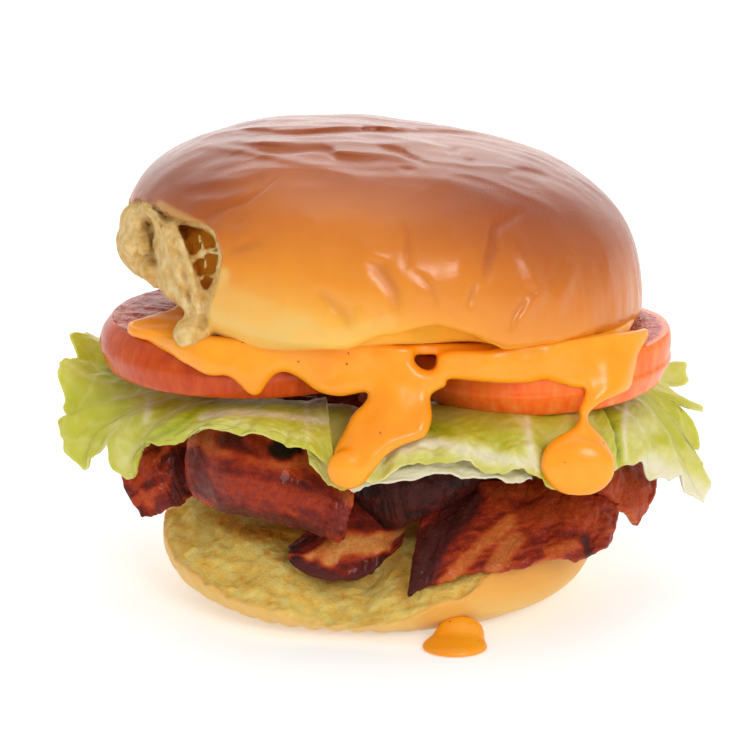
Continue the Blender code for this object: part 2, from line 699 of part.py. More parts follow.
def make_puddle(collection):
    """A drop on the table, flat below and leaning on the heel."""
    cx, cy = PUDDLE["centre"]
    rx, ry, rz = PUDDLE["size"]

    def place(azimuth, latitude):
        wide, high = math.cos(latitude), max(math.sin(latitude), 0.0)
        if latitude < 0:
            wide = wide * 0.96
        return Vector((cx + rx * wide * math.cos(azimuth), cy + ry * wide * math.sin(azimuth), rz * high))

    return round_body("sauce_puddle", 20, 10, place, collection)


LOOKS = {
    "crown": ((0.55, 0.22, 0.06), 0.35),
    "heel": ((0.72, 0.50, 0.20), 0.70),
    "tomato": ((0.62, 0.10, 0.03), 0.25),
    "bacon": ((0.25, 0.05, 0.02), 0.35),
    "lettuce": ((0.55, 0.60, 0.18), 0.40),
    "sauce": ((0.90, 0.38, 0.05), 0.25),
}


def finish(thing, look):
    """Gives a piece its material and shading, with any modifier applied."""
    replace_mesh(thing, evaluated_mesh(thing))
    thing.data.materials.clear()
    thing.data.materials.append(look)
    thing.data.shade_smooth()
    thing.data.set_sharp_from_angle(angle=math.radians(50))


def main():
    clear_scene()
    scene = bpy.context.scene
    sandwich = bpy.data.collections.new("blt_sandwich")
    helpers = bpy.data.collections.new("helpers")
    scene.collection.children.link(sandwich)
    scene.collection.children.link(helpers)
    looks = {name: material(name, *values) for name, values in LOOKS.items()}

    heel = make_heel(sandwich, helpers)
    crown = make_crown(sandwich, helpers)
    tomatoes = [make_tomato(name, size, sandwich) for name, size in TOMATOES.items()]
    placed = [heel, crown, *tomatoes]
    bacon = []
    for i, name in enumerate(BACON):
        strip = make_bacon(name, 1.7 * i, sandwich)
        carve(strip, placed, helpers)
        placed.append(strip)
        bacon.append(strip)
    leaves = []
    for i, name in enumerate(LEAVES):
        leaf = make_leaf(name, 0.9 * i, sandwich)
        carve(leaf, placed, helpers)
        placed.append(leaf)
        leaves.append(leaf)
    sauce = make_sauce(sandwich, helpers)
    carve(sauce, placed, helpers)
    puddle = make_puddle(sandwich)
    carve(puddle, [heel], helpers)

    finish(heel, looks["heel"])
    finish(crown, looks["crown"])
    for thing in tomatoes:
        finish(thing, looks["tomato"])
    for thing in bacon:
        finish(thing, looks["bacon"])
    for thing in leaves:
        finish(thing, looks["lettuce"])
    for thing in (sauce, puddle):
        finish(thing, looks["sauce"])


main()
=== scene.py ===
"""The looks of the BLT sandwich: every food solid of the frame is replaced by a finely shaped piece.

Lengths in the tables and in the shape functions are millimetres in the frame's own axes: the
origin is the centre of the heel's base, +Z is up and the drips face -Y. Meshes are written in
metres. Marks that were read from the photograph are pixels of its 750 x 750 frame.
"""

import math
from concurrent.futures import ThreadPoolExecutor

import bpy
import numpy as np
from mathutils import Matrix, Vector


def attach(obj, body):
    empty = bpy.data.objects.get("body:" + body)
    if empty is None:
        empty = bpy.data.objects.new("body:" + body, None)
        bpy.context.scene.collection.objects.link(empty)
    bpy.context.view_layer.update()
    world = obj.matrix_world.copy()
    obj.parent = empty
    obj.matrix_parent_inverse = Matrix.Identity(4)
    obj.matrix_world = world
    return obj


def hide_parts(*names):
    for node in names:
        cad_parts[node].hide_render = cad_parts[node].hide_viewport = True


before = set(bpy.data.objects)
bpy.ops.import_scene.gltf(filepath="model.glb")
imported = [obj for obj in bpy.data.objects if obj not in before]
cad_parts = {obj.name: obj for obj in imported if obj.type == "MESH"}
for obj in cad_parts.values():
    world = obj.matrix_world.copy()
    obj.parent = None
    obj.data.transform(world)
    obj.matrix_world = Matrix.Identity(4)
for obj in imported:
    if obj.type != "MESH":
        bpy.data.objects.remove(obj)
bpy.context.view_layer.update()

MM = 0.001

# The photograph's view
PHOTO_SIZE = 750
PX_PER_MM = 4.4
VIEW_DISTANCE = 900.0
VIEW_ELEVATION = math.radians(15.5)
VIEW_TARGET = np.array([-2.3, 0.0, 49.0])

# Crown
CROWN_RADIUS = 58.2
CROWN_CENTRE_X = -0.6
CROWN_EQUATOR = 71.7
CROWN_RISE = 34.3
CROWN_LEAN = (-0.092, -0.050)
CROWN_UNDERSIDE = 67.6
# Height of the crown's lower lip at each azimuth in degrees
CROWN_LIP = [
    (0, 64.4), (40, 63.0), (90, 62.2), (120, 65.0), (150, 70.0), (180, 73.4), (200, 73.4), (212, 71.0),
    (225, 64.4), (238, 65.6), (250, 68.2), (262, 69.6), (270, 73.0), (282, 75.0), (290, 72.4),
    (298, 68.2), (312, 67.4), (330, 66.2), (350, 64.8), (360, 64.4),
]

# Heel
HEEL_RADIUS = 49.3
HEEL_EQUATOR = 14.5
HEEL_TOP = 18.6
HEEL_CENTRE_X = -1.7
HEEL_BASE_CUT = 3.2
# Height of the heel's torn rim at each azimuth in degrees, above the heel where it is whole
TORN_LIP = [
    (172, 30.0), (180, 15.0), (200, 12.0), (218, 10.0), (232, 8.2), (244, 5.4), (256, 3.0), (266, 2.6),
    (276, 6.5), (284, 9.5), (293, 11.5), (300, 15.5), (308, 30.0),
]
TEAR_SLOPE = 0.40

# How far from round the bun is seen from above
OUT_OF_ROUND = 0.008
# How square the profiles are: the crown's dome and how much squarer it is to the right, and the
# heel above and below its equator
DOME_POWER = 2.69
DOME_POWER_CHANGE = 0.09
HEEL_POWERS = (4.0, 2.85)
HEEL_PLEATS = 46
PLEAT_DEPTH = 0.26


# Noise and meshing


def hashed(cells, seed):
    """A repeatable whole number for each lattice cell."""
    c = cells.astype(np.uint32)
    h = c[..., 0] * np.uint32(73856093) ^ c[..., 1] * np.uint32(19349663)
    h ^= c[..., 2] * np.uint32(83492791) ^ np.uint32((seed * 2654435761) & 0xFFFFFFFF)
    h ^= h >> np.uint32(15)
    h *= np.uint32(2246822519)
    h ^= h >> np.uint32(13)
    h *= np.uint32(3266489917)
    return h ^ (h >> np.uint32(16))


GRADIENTS = np.array(
    [(1, 1, 0), (-1, 1, 0), (1, -1, 0), (-1, -1, 0), (1, 0, 1), (-1, 0, 1), (1, 0, -1), (-1, 0, -1)]
    + [(0, 1, 1), (0, -1, 1), (0, 1, -1), (0, -1, -1), (1, 1, 0), (-1, 1, 0), (0, -1, 1), (0, -1, -1)],
    dtype=np.float64,
)


def noise(points, size, seed=0):
    """Smooth noise, about -1 to 1, with features `size` mm apart."""
    q = points / size + 0.37 * seed
    cell = np.floor(q).astype(np.int64)
    f = q - cell
    s = f * f * f * (f * (f * 6 - 15) + 10)
    total = np.zeros(len(points))
    for dx in (0, 1):
        wx = s[:, 0] if dx else 1 - s[:, 0]
        for dy in (0, 1):
            wy = s[:, 1] if dy else 1 - s[:, 1]
            for dz in (0, 1):
                wz = s[:, 2] if dz else 1 - s[:, 2]
                corner = np.array([dx, dy, dz])
                g = GRADIENTS[hashed(cell + corner, seed) & np.uint32(15)]
                total += wx * wy * wz * np.einsum("ij,ij->i", g, f - corner)
    return total


def bubbles(points, size, seed=0):
    """Distance, in cell sizes, to the nearest of scattered centres: 0 inside a bubble."""
    q = points / size
    cell = np.floor(q).astype(np.int64)
    nearest = np.full(len(points), 9.0)
    for dx in (-1, 0, 1):
        for dy in (-1, 0, 1):
            for dz in (-1, 0, 1):
                at = cell + np.array([dx, dy, dz])
                h = hashed(at, seed)
                jitter = np.stack([h & 255, (h >> np.uint32(8)) & 255, (h >> np.uint32(16)) & 255], 1)
                away = at + jitter / 255.0 - q
                nearest = np.minimum(nearest, np.einsum("ij,ij->i", away, away))
    return np.sqrt(nearest)


def ramp(x, low, high):
    """0 below low, 1 above high and smooth between."""
    t = np.clip((x - low) / (high - low), 0, 1)
    return t * t * (3 - 2 * t)


def soft_max(a, b, k):
    h = np.clip(0.5 + 0.5 * (a - b) / k, 0, 1)
    return b + (a - b) * h + k * h * (1 - h)


def soft_min(a, b, k):
    return -soft_max(-a, -b, k)


def read_table(table, values):
    places, results = zip(*table)
    return np.interp(values, places, results)


CHUNK = 40000


def in_parts(field, points):
    """The field at many points, worked out a part at a time."""
    parts = [points[i : i + CHUNK] for i in range(0, len(points), CHUNK)]
    with ThreadPoolExecutor(4) as pool:
        return np.concatenate(list(pool.map(field, parts)))


BLOCK = 6


def sample_field(field, low, high, step):
    """The field on a grid, worked out only in the blocks that the surface may cross."""
    low = np.array(low, float)
    blocks = np.ceil((np.array(high, float) - low) / (step * BLOCK)).astype(int)
    where = np.stack(np.meshgrid(*[np.arange(n) for n in blocks], indexing="ij"), -1).reshape(-1, 3)
    middles = low + (where * BLOCK + (BLOCK - 1) / 2) * step
    rough = in_parts(field, middles)
    values = np.repeat(np.sign(rough) * 9.0, BLOCK**3).reshape(-1, BLOCK, BLOCK, BLOCK)
    near = np.abs(rough) < BLOCK * step * 0.95 + 2.0
    inner = np.stack(np.meshgrid(*[np.arange(BLOCK)] * 3, indexing="ij"), -1).reshape(-1, 3)
    points = (low + (where[near][:, None, :] * BLOCK + inner) * step).reshape(-1, 3)
    values[near] = in_parts(field, points).reshape(-1, BLOCK, BLOCK, BLOCK)
    grid = values.reshape(*blocks, BLOCK, BLOCK, BLOCK).transpose(0, 3, 1, 4, 2, 5)
    return grid.reshape(*(blocks * BLOCK))


CORNERS = [(x, y, z) for x in (0, 1) for y in (0, 1) for z in (0, 1)]
EDGES = [
    (a, b) for a in CORNERS for b in CORNERS if sum(b) - sum(a) == 1 and all(q >= p for p, q in zip(a, b))
]


def surface_net(grid, low, step):
    """Points and quads of the surface where the grid is zero, one point in each crossed cell."""
    inside = grid < 0
    nx, ny, nz = np.array(grid.shape) - 1
    count = np.zeros((nx, ny, nz), np.int8)
    for x, y, z in CORNERS:
        count += inside[x : x + nx, y : y + ny, z : z + nz]
    mixed = (count > 0) & (count < 8)
    cells = np.argwhere(mixed)
    number = np.full(mixed.shape, -1)
    number[mixed] = np.arange(len(cells))
    total = np.zeros((len(cells), 3))
    crossings = np.zeros(len(cells))
    for a, b in EDGES:
        fa = grid[tuple((cells + a).T)]
        fb = grid[tuple((cells + b).T)]
        crossed = (fa < 0) != (fb < 0)
        t = np.where(crossed, fa / np.where(crossed, fa - fb, 1), 0)
        spot = np.array(a) + t[:, None] * (np.array(b) - np.array(a))
        total += spot * crossed[:, None]
        crossings += crossed
    points = np.array(low) + (cells + total / crossings[:, None]) * step
    quads = []
    for axis in range(3):
        u, v = [i for i in range(3) if i != axis]
        first = [slice(1, -1)] * 3
        second = [slice(1, -1)] * 3
        first[axis], second[axis] = slice(0, -1), slice(1, None)
        here, there = inside[tuple(first)], inside[tuple(second)]
        at = np.argwhere(here != there)
        entering = there[tuple(at.T)]
        at[:, u] += 1
        at[:, v] += 1
        around = []
        for du, dv in ((-1, -1), (0, -1), (0, 0), (-1, 0)):
            cell = at.copy()
            cell[:, u] += du
            cell[:, v] += dv
            around.append(number[tuple(cell.T)])
        ring = np.stack(around, 1)
        turned = entering if axis != 1 else ~entering
        ring[turned] = ring[turned][:, ::-1]
        quads.append(ring)
    return points, np.concatenate(quads)


def settle(points, field, steps=2, reach=0.12):
    """Moves points onto the exact zero surface of the field."""
    for _ in range(steps):
        value = in_parts(field, points)
        ahead = [in_parts(field, points + np.eye(3)[i] * reach) for i in range(3)]
        slope = (np.stack(ahead, 1) - value[:, None]) / reach
        size = np.maximum(np.einsum("ij,ij->i", slope, slope), 0.3)
        move = np.clip(value / size, -0.5, 0.5)
        points = points - slope * move[:, None]
    return points


def keep_main_shell(points, quads):
    """Drops loose scraps, by spreading the lowest point number along the faces."""
    label = np.arange(len(points))
    while True:
        lowest = label[quads].min(1)
        spread = label.copy()
        for k in range(4):
            np.minimum.at(spread, quads[:, k], lowest)
        spread = spread[spread]
        if (spread == label).all():
            break
        label = spread
    names, sizes = np.unique(label, return_counts=True)
    kept = label == names[sizes.argmax()]
    index = np.cumsum(kept) - 1
    return points[kept], index[quads[kept[quads[:, 0]]]]


def carve(field, low, high, step):
    """The surface of a field in a box, settled and without loose scraps: its points and quads."""
    points, quads = surface_net(sample_field(field, low, high, step), low, step)
    points, quads = keep_main_shell(points, quads)
    return settle(points, field), quads


def make_piece(name, points, faces, material, attributes, nodes, caps=()):
    """A smooth-shaded mesh from points in mm, riding on the frame in place of CAD nodes."""
    mesh = bpy.data.meshes.new(name)
    loops = np.concatenate([np.asarray(faces).ravel(), np.asarray(caps).ravel()]).astype(np.int32)
    starts = np.arange(len(faces)) * 4
    cap_starts = len(faces) * 4 + np.arange(len(caps)) * 3
    mesh.vertices.add(len(points))
    mesh.vertices.foreach_set("co", (points * MM).astype(np.float32).ravel())
    mesh.loops.add(len(loops))
    mesh.loops.foreach_set("vertex_index", loops)
    mesh.polygons.add(len(faces) + len(caps))
    mesh.polygons.foreach_set("loop_start", np.concatenate([starts, cap_starts]).astype(np.int32))
    mesh.polygons.foreach_set("use_smooth", np.ones(len(faces) + len(caps), bool))
    mesh.update(calc_edges=True)
    mesh.validate()
    for key, values in attributes.items():
        layer = mesh.attributes.new(key, "FLOAT", "POINT")
        layer.data.foreach_set("value", np.asarray(values, np.float32))
    mesh.materials.append(material)
    piece = bpy.data.objects.new(name, mesh)
    bpy.context.scene.collection.objects.link(piece)
    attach(piece, "root")
    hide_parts(*nodes)


def seen_at(points):
    """The photograph's pixel where the camera sees each point."""
    sin_e, cos_e = math.sin(VIEW_ELEVATION), math.cos(VIEW_ELEVATION)
    x = points[:, 0] - VIEW_TARGET[0]
    y = points[:, 1]
    z = points[:, 2] - VIEW_TARGET[2]
    nearer = -y * cos_e + z * sin_e
    scale = PX_PER_MM * VIEW_DISTANCE / (VIEW_DISTANCE - nearer)
    middle = PHOTO_SIZE / 2
    return np.stack([middle + scale * x, middle - scale * (z * cos_e + y * sin_e)], 1)


def smooth_line(values, u):
    """A smooth curve through equally spaced points, read at each u from 0 to 1."""
    values = np.array(values, float)
    place = np.clip(u, 0, 1) * (len(values) - 1)
    i = np.minimum(place.astype(int), len(values) - 2)
    f = (place - i)[:, None]
    a, b = values[i], values[i + 1]
    before = values[np.maximum(i - 1, 0)]
    after = values[np.minimum(i + 2, len(values) - 1)]
    bend = 2 * before - 5 * a + 4 * b - after
    return 0.5 * (2 * a + (b - before) * f + bend * f**2 + (3 * (a - b) + after - before) * f**3)


def smooth_path(path):
    """More points along a bent line, so that it curves."""
    return smooth_line(path, np.linspace(0, 1, 3 * len(path) + 1))


def near_path(spots, path, margin):
    """Which spots lie in the box around a bent line."""
    path = np.array(path, float)
    low, high = path.min(0) - margin, path.max(0) + margin
    return ((spots > low) & (spots < high)).all(1)


def path_distance(spots, path):
    """Distance of each 2D spot from a bent line, and how far along it the nearest point is."""
    path = np.array(path, float)
    legs = np.linalg.norm(np.diff(path, axis=0), axis=1)
    start = np.concatenate([[0], np.cumsum(legs)])
    nearest = np.full(len(spots), 1e9)
    along = np.zeros(len(spots))
    for i, leg in enumerate(legs):
        away = spots - path[i]
        run = (path[i + 1] - path[i]) / leg
        t = np.clip(away @ run, 0, leg)
        distance = np.hypot(away[:, 0] - t * run[0], away[:, 1] - t * run[1])
        closer = distance < nearest
        nearest[closer] = distance[closer]
        along[closer] = (start[i] + t[closer]) / start[-1]
    return nearest, along


def outline_distance(spots, outline):
    """Signed distance of 2D spots from a closed outline, positive inside."""
    closed = np.array(list(outline) + [outline[0]], float)
    away, _ = path_distance(spots, closed)
    inside = np.zeros(len(spots), bool)
    for a, b in zip(closed[:-1], closed[1:]):
        spans = (a[1] > spots[:, 1]) != (b[1] > spots[:, 1])
        height = b[1] - a[1] if b[1] != a[1] else 1e-9
        cross = a[0] + (spots[:, 1] - a[1]) * (b[0] - a[0]) / height
        inside ^= spans & (spots[:, 0] < cross)
    return np.where(inside, away, -away)


def ball_distance(points, middle, half):
    """Distance outside a stretched ball."""
    scaled = (points - middle) / half
    away = np.linalg.norm(scaled, axis=1)
    steep = np.linalg.norm(scaled / half, axis=1) / np.maximum(away, 1e-4)
    return (away - 1) / np.maximum(steep, 1e-4)


def dome_distance(reach, height, radius, tall, power):
    """Distance outside a round body whose profile is a superellipse."""
    a = np.maximum(reach / radius, 1e-4)
    b = np.maximum(height / tall, 1e-4)
    size = (a**power + b**power) ** (1 / power)
    slope = np.hypot(a ** (power - 1) / radius, b ** (power - 1) / tall) * size ** (1 - power)
    return (size - 1) / np.maximum(slope, 1e-5)


def rounded_edge(edge, reach):
    """Rises from 0 at an edge to 1 at reach, like a quarter of a circle."""
    return np.sqrt(np.clip(1 - (1 - np.clip(edge / reach, 0, 1)) ** 2, 0, 1))


class Region:
    """A smooth closed outline in pixels, read as a signed distance in mm, positive inside."""

    def __init__(self, outline, rounding=1):
        ring = np.array(outline, float)
        for _ in range(rounding):
            after = np.roll(ring, -1, axis=0)
            ring = np.stack([0.75 * ring + 0.25 * after, 0.25 * ring + 0.75 * after], 1).reshape(-1, 2)
        margin = 30
        self.low = np.floor(ring.min(0)) - margin
        size = np.ceil(ring.max(0)) + margin - self.low
        self.shape = size.astype(int) + 1
        x, y = np.meshgrid(np.arange(self.shape[0]), np.arange(self.shape[1]), indexing="ij")
        spots = np.stack([x.ravel(), y.ravel()], 1) + self.low
        self.grid = in_parts(lambda part: outline_distance(part, ring), spots).reshape(self.shape)

    def __call__(self, spots):
        at = np.clip(spots - self.low, 0, self.shape - 1.001)
        cell = at.astype(int)
        f = at - cell
        i, j = cell.T
        left = self.grid[i, j] * (1 - f[:, 1]) + self.grid[i, j + 1] * f[:, 1]
        right = self.grid[i + 1, j] * (1 - f[:, 1]) + self.grid[i + 1, j + 1] * f[:, 1]
        return (left * (1 - f[:, 0]) + right * f[:, 0]) / PX_PER_MM


# Bread


# Marks on the crown that face the camera: pixels along each, depth in mm (negative is a
# ridge) and half width in pixels
CROWN_MARKS = [
    ([(526, 209), (508, 218), (495, 231), (491, 250), (488, 270), (484, 286)], 1.1, 5.5),
    ([(519, 230), (525, 255), (534, 281), (541, 291), (530, 306), (521, 322), (515, 345)], -0.9, 7.5),
    ([(529, 297), (516, 314), (511, 332)], 0.6, 4.5),
    ([(572, 257), (567, 284), (560, 308), (557, 322)], -0.6, 7.0),
    ([(567, 262), (553, 277), (547, 294)], 0.4, 6.0),
    ([(405, 221), (406, 246), (408, 273)], 0.5, 3.6),
    ([(408, 271), (424, 279), (433, 290), (437, 312)], 0.4, 4.0),
    ([(475, 277), (471, 293), (468, 312)], 0.5, 4.0),
    ([(362, 254), (380, 269), (391, 286), (396, 305), (398, 320)], 0.75, 7.0),
    ([(354, 243), (371, 251), (384, 262)], -0.5, 8.0),
    ([(314, 287), (331, 301), (343, 316), (352, 332)], 0.5, 6.0),
    ([(354, 309), (358, 322), (362, 334)], -0.5, 5.0),
    ([(281, 172), (262, 190), (240, 203), (218, 210), (196, 213)], 0.55, 2.6),
    ([(282, 168), (240, 178), (200, 182), (175, 186)], -0.5, 6.0),
    ([(250, 192), (215, 200), (180, 204)], -0.5, 5.0),
    ([(225, 214), (210, 216), (192, 224)], 0.5, 4.0),
    ([(268, 239), (243, 247), (222, 255)], 0.5, 5.0),
    ([(205, 224), (232, 232), (262, 230)], -0.4, 7.0),
    ([(250, 214), (238, 224), (226, 236)], 0.35, 3.0),
    ([(222, 128), (262, 132), (297, 134), (343, 131), (400, 131), (463, 134), (495, 140)], 0.85, 2.4),
    ([(251, 146), (285, 151), (312, 149), (328, 151), (341, 157), (374, 160), (389, 155)], 0.8, 3.6),
    ([(374, 147), (397, 151), (412, 158), (431, 165)], 0.7, 2.6),
    ([(196, 146), (240, 150), (290, 160), (340, 166)], -0.45, 4.0),
    ([(396, 168), (418, 171)], 0.4, 2.6),
    ([(503, 173), (526, 171), (551, 179)], 0.4, 3.2),
    ([(445, 151), (462, 150)], 0.4, 2.4),
    ([(462, 161), (478, 162)], 0.3, 2.6),
    ([(440, 120), (480, 127), (520, 140)], 0.6, 2.2),
    ([(225, 141), (262, 142), (300, 143)], -0.6, 3.0),
    ([(470, 215), (462, 250), (455, 285)], -0.45, 9.0),
    ([(600, 228), (610, 260), (606, 300)], -0.35, 9.0),
    ([(300, 200), (320, 240), (322, 280)], -0.35, 12.0),
]
# How pale the crust is, in pixels, half width and share
PALE_CRUST = [
    ([(160, 205), (175, 214), (200, 226)], 5.0, 0.45),
    ([(222, 275), (218, 292), (213, 315)], 8.0, 0.75),
    ([(211, 318), (214, 346)], 12.0, 0.9),
    ([(205, 325), (250, 330), (300, 335)], 22.0, 0.75),
    ([(225, 298), (245, 305), (262, 312)], 14.0, 0.4),
    ([(300, 338), (340, 336), (390, 322)], 8.0, 0.35),
]
# The furrows that the camera can't see are this much shallower than their table says: their
# ends as azimuth in degrees and height above the equator, depth in mm and half width in mm
HIDDEN_SHARE = 0.55
HIDDEN_MARKS = [
    ((20, 20), (26, 4), 1.0, 2.2),
    ((36, 12), (40, 0), 0.8, 1.8),
    ((60, 18), (66, 0), 1.1, 2.4),
    ((78, 10), (74, -2), -0.8, 2.2),
    ((95, 20), (88, 2), 1.0, 2.6),
    ((113, 13), (117, 0), 0.9, 1.9),
    ((130, 16), (138, 0), 1.0, 2.2),
    ((150, 22), (144, 8), -0.9, 2.6),
    ((160, 20), (152, 6), 0.9, 2.4),
    ((345, 14), (350, 0), 0.7, 2.0),
]


def press_groove(depth, spots, near, path, deep, width):
    """Adds a mark along a line to the depths, tapered to both ends."""
    away, along = path_distance(spots[near], path)
    taper = np.clip(1 - (2 * along - 1) ** 2, 0, 1)
    depth[near] += deep * np.exp(-((away / width) ** 2)) * taper


def crown_marks(points, azimuth, height):
    """Depth of the creases, in mm, ridges being negative."""
    depth = np.zeros(len(points))
    sway = np.stack([noise(points, 5.0, 14), noise(points, 5.0, 15)], 1)
    steady = 1 - 0.8 * ramp(height, 22, 29)
    spots = seen_at(points) + 3.5 * sway * steady[:, None]
    facing = ramp(-points[:, 1] + 0.98 * np.maximum(height, 0), -1.0, 6.0) * ramp(height, -9, -5)
    for path, deep, width in CROWN_MARKS:
        near = near_path(spots, path, 2.5 * width) & (facing > 0)
        press_groove(depth, spots, near, smooth_path(path), deep * facing[near], width)
    unrolled = np.stack([CROWN_RADIUS * azimuth, height], 1) + 1.6 * sway
    for (a0, h0), (a1, h1), deep, width in HIDDEN_MARKS:
        ends = [(CROWN_RADIUS * math.radians(a0), h0), (CROWN_RADIUS * math.radians(a1), h1)]
        near = near_path(unrolled, ends, 2.5 * width)
        press_groove(depth, unrolled, near, ends, HIDDEN_SHARE * deep, width)
    return depth


def crown_skin(points):
    """Distance outside the whole crown, before anything was torn from it."""
    x = points[:, 0] - CROWN_CENTRE_X
    y = points[:, 1]
    azimuth = np.arctan2(y, x) % (2 * math.pi)
    reach = np.hypot(x, y)
    height = points[:, 2] - CROWN_EQUATOR - CROWN_LEAN[0] * x - CROWN_LEAN[1] * y
    radius = CROWN_RADIUS * (1 + OUT_OF_ROUND * np.cos(2 * azimuth + 0.4))
    power = DOME_POWER + DOME_POWER_CHANGE * np.cos(azimuth)
    dome = dome_distance(reach, height, radius, CROWN_RISE, power)
    tuck = np.clip(-height / 26, 0, 1) ** 2.2
    wall = reach - radius * (1 - tuck)
    side = np.where(height > 0, dome, wall)
    lip = read_table(CROWN_LIP, np.degrees(azimuth)) + 0.5 * noise(points * [1, 1, 0.2], 7.0, 3)
    inwards = ramp(0.95 - reach / radius, 0, 0.22)
    below = lip + (CROWN_UNDERSIDE - lip) * inwards - points[:, 2]
    marks = crown_marks(points, azimuth, height)
    swell = 0.5 * noise(points, 21.0, 5) + 0.2 * noise(points, 8.0, 6)
    arc = np.stack([CROWN_RADIUS * np.cos(azimuth), CROWN_RADIUS * np.sin(azimuth), height * 0.22], 1)
    pucker = noise(arc, 4.5, 16) + 0.5 * noise(arc, 2.2, 17)
    swell += 0.24 * pucker * ramp(-height, -22, -4)
    along = points * [0.28, 1.0, 1.0]
    ridges = 0.5 - np.abs(noise(along, 9.0, 18)) * 1.6 + 0.4 * noise(along, 4.0, 19)
    swell += 0.55 * ridges * ramp(height, 22, 31)
    skin = side + marks - swell
    return soft_max(skin, below, 3.0), height, azimuth


# The torn face of the crown as the camera sees it: the crumb, what is gone below it and the
# pocket in it
TORN_FACE = [
    (100, 198), (128, 203), (143, 199), (153, 204), (166, 215), (180, 220), (196, 221), (209, 226),
    (218, 238), (222, 256), (219, 278), (211, 300), (207, 322), (208, 338), (214, 352), (160, 370),
    (90, 330), (90, 220),
]
GONE = [
    (60, 268), (105, 262), (122, 263), (134, 275), (148, 282), (153, 293), (158, 302), (166, 300),
    (172, 307), (181, 305), (186, 313), (190, 326), (192, 338), (196, 352), (209, 356), (225, 360),
    (220, 420), (60, 420),
]
POCKET = [
    (175, 222), (190, 226), (206, 229), (216, 240), (219, 257), (215, 276), (208, 293), (200, 285),
    (193, 266), (185, 246),
]
POCKET_DEPTH = 6.0
THREADS = [
    ([(188, 264), (194, 258), (203, 252), (218, 250)], 0.9),
    ([(195, 281), (204, 277), (218, 275)], 0.55),
    ([(199, 236), (203, 250), (206, 268)], 0.45),
]
# Folds of the torn crumb: pixels, half width, and how far each stands out in mm
CRUMB_FOLDS = [
    ([(128, 218), (128, 245)], 17.0, 3.6),
    ([(120, 240), (132, 262), (146, 272)], 9.0, 1.6),
    ([(146, 207), (160, 224), (172, 250), (180, 285), (188, 320)], 5.0, 2.0),
    ([(156, 215), (166, 240), (168, 268), (170, 294)], 4.0, 0.9),
    ([(172, 226), (184, 252), (194, 290), (200, 330)], 5.0, 1.9),
    ([(178, 326), (190, 336), (204, 342)], 10.0, 1.5),
    ([(148, 222), (153, 240), (154, 262)], 4.5, -1.3),
]

# The lobe of crumb at the foot of the tear: middle and half sizes
FOOT = ((-41.5, -37.0, 68.6), (4.6, 5.0, 3.8))

TORN_REGION = Region(TORN_FACE)
GONE_REGION = Region(GONE)
POCKET_REGION = Region(POCKET, 2)


def torn_inside(points, spots):
    """How far inside the torn face a point lies, in mm."""
    edge = TORN_REGION(spots) + 0.5 * noise(points, 2.2, 33) + 0.25 * noise(points, 1.0, 34)
    behind = 12.0 - points[:, 1] - 0.35 * (points[:, 2] - 68.0)
    return np.minimum(edge, behind + 3.5 * noise(points, 7.0, 35) + 1.5 * noise(points, 3.0, 36))


def bread_roughness(points, seed):
    """Relief of torn crumb: tufts, bubbles and fine fibre."""
    tufts = 1.2 * noise(points, 8.0, seed) + 0.8 * noise(points, 3.4, seed + 1)
    holes = np.clip(0.46 - bubbles(points, 2.2, seed + 2), 0, 1) * 2.0
    fine = 0.55 * noise(points * [1, 1, 0.4], 1.6, seed + 3) + 0.30 * noise(points, 0.9, seed + 4)
    return tufts + holes + fine


def crown_field(points):
    skin, _, _ = crown_skin(points)
    near = (points[:, 0] < -22) & (points[:, 1] < 26) & (np.abs(skin) < 24)
    field = skin
    q = points[near]
    if len(q):
        spots = seen_at(q)
        inside = torn_inside(q, spots)
        stand = np.zeros(len(q))
        for path, width, height in CRUMB_FOLDS:
            close = near_path(spots, path, 2.2 * width)
            away, _ = path_distance(spots[close], smooth_path(path))
            stand[close] += height * np.exp(-((away / width) ** 2))
        smoothness = ramp(stand, 0.6, 1.8)
        rough = bread_roughness(q, 11) * (1 - 0.35 * smoothness)
        depth = 2.2 - stand + rough
        torn = skin[near] + depth * ramp(inside, -0.25, 0.5)
        hole = -POCKET_REGION(spots) + 0.4 * noise(q, 2.0, 31)
        floor = -skin[near] - POCKET_DEPTH - 1.5 * noise(q, 3.0, 32)
        pocket = -np.maximum(np.maximum(hole, floor), q[:, 1] + 18)
        for path, thick in THREADS:
            away, _ = path_distance(spots, path)
            thread = np.hypot(away / PX_PER_MM, skin[near] + 3.2) - thick * (0.8 + 0.4 * noise(q, 1.5, 41))
            pocket = soft_min(pocket, thread, 0.5)
        gone = GONE_REGION(spots) + 0.6 * noise(q * [1, 1, 0.5], 1.6, 42) + 0.5 * noise(q, 4.0, 43)
        gone = np.minimum(gone, 14.0 - q[:, 1])
        foot = np.linalg.norm((q - FOOT[0]) / FOOT[1], axis=1) - 1
        foot = foot * min(FOOT[1]) + 0.6 * noise(q, 2.6, 44) + 0.25 * noise(q, 1.1, 45)
        field = field.copy()
        field[near] = soft_min(soft_max(soft_max(torn, pocket, 0.5), gone, 0.8), foot, 1.5)
    return field


# The right of the crown's front and the shoulder above the tear are browner, as if this many mm
# higher
BAKED_RIGHT = 13.0
BAKED_SHOULDER = 14.0


# The box round the crown and the size of its mesh's cells
CROWN_SPACE = ((-62.0, -61.0, 59.0), (61.0, 61.0, 111.0), 0.66)


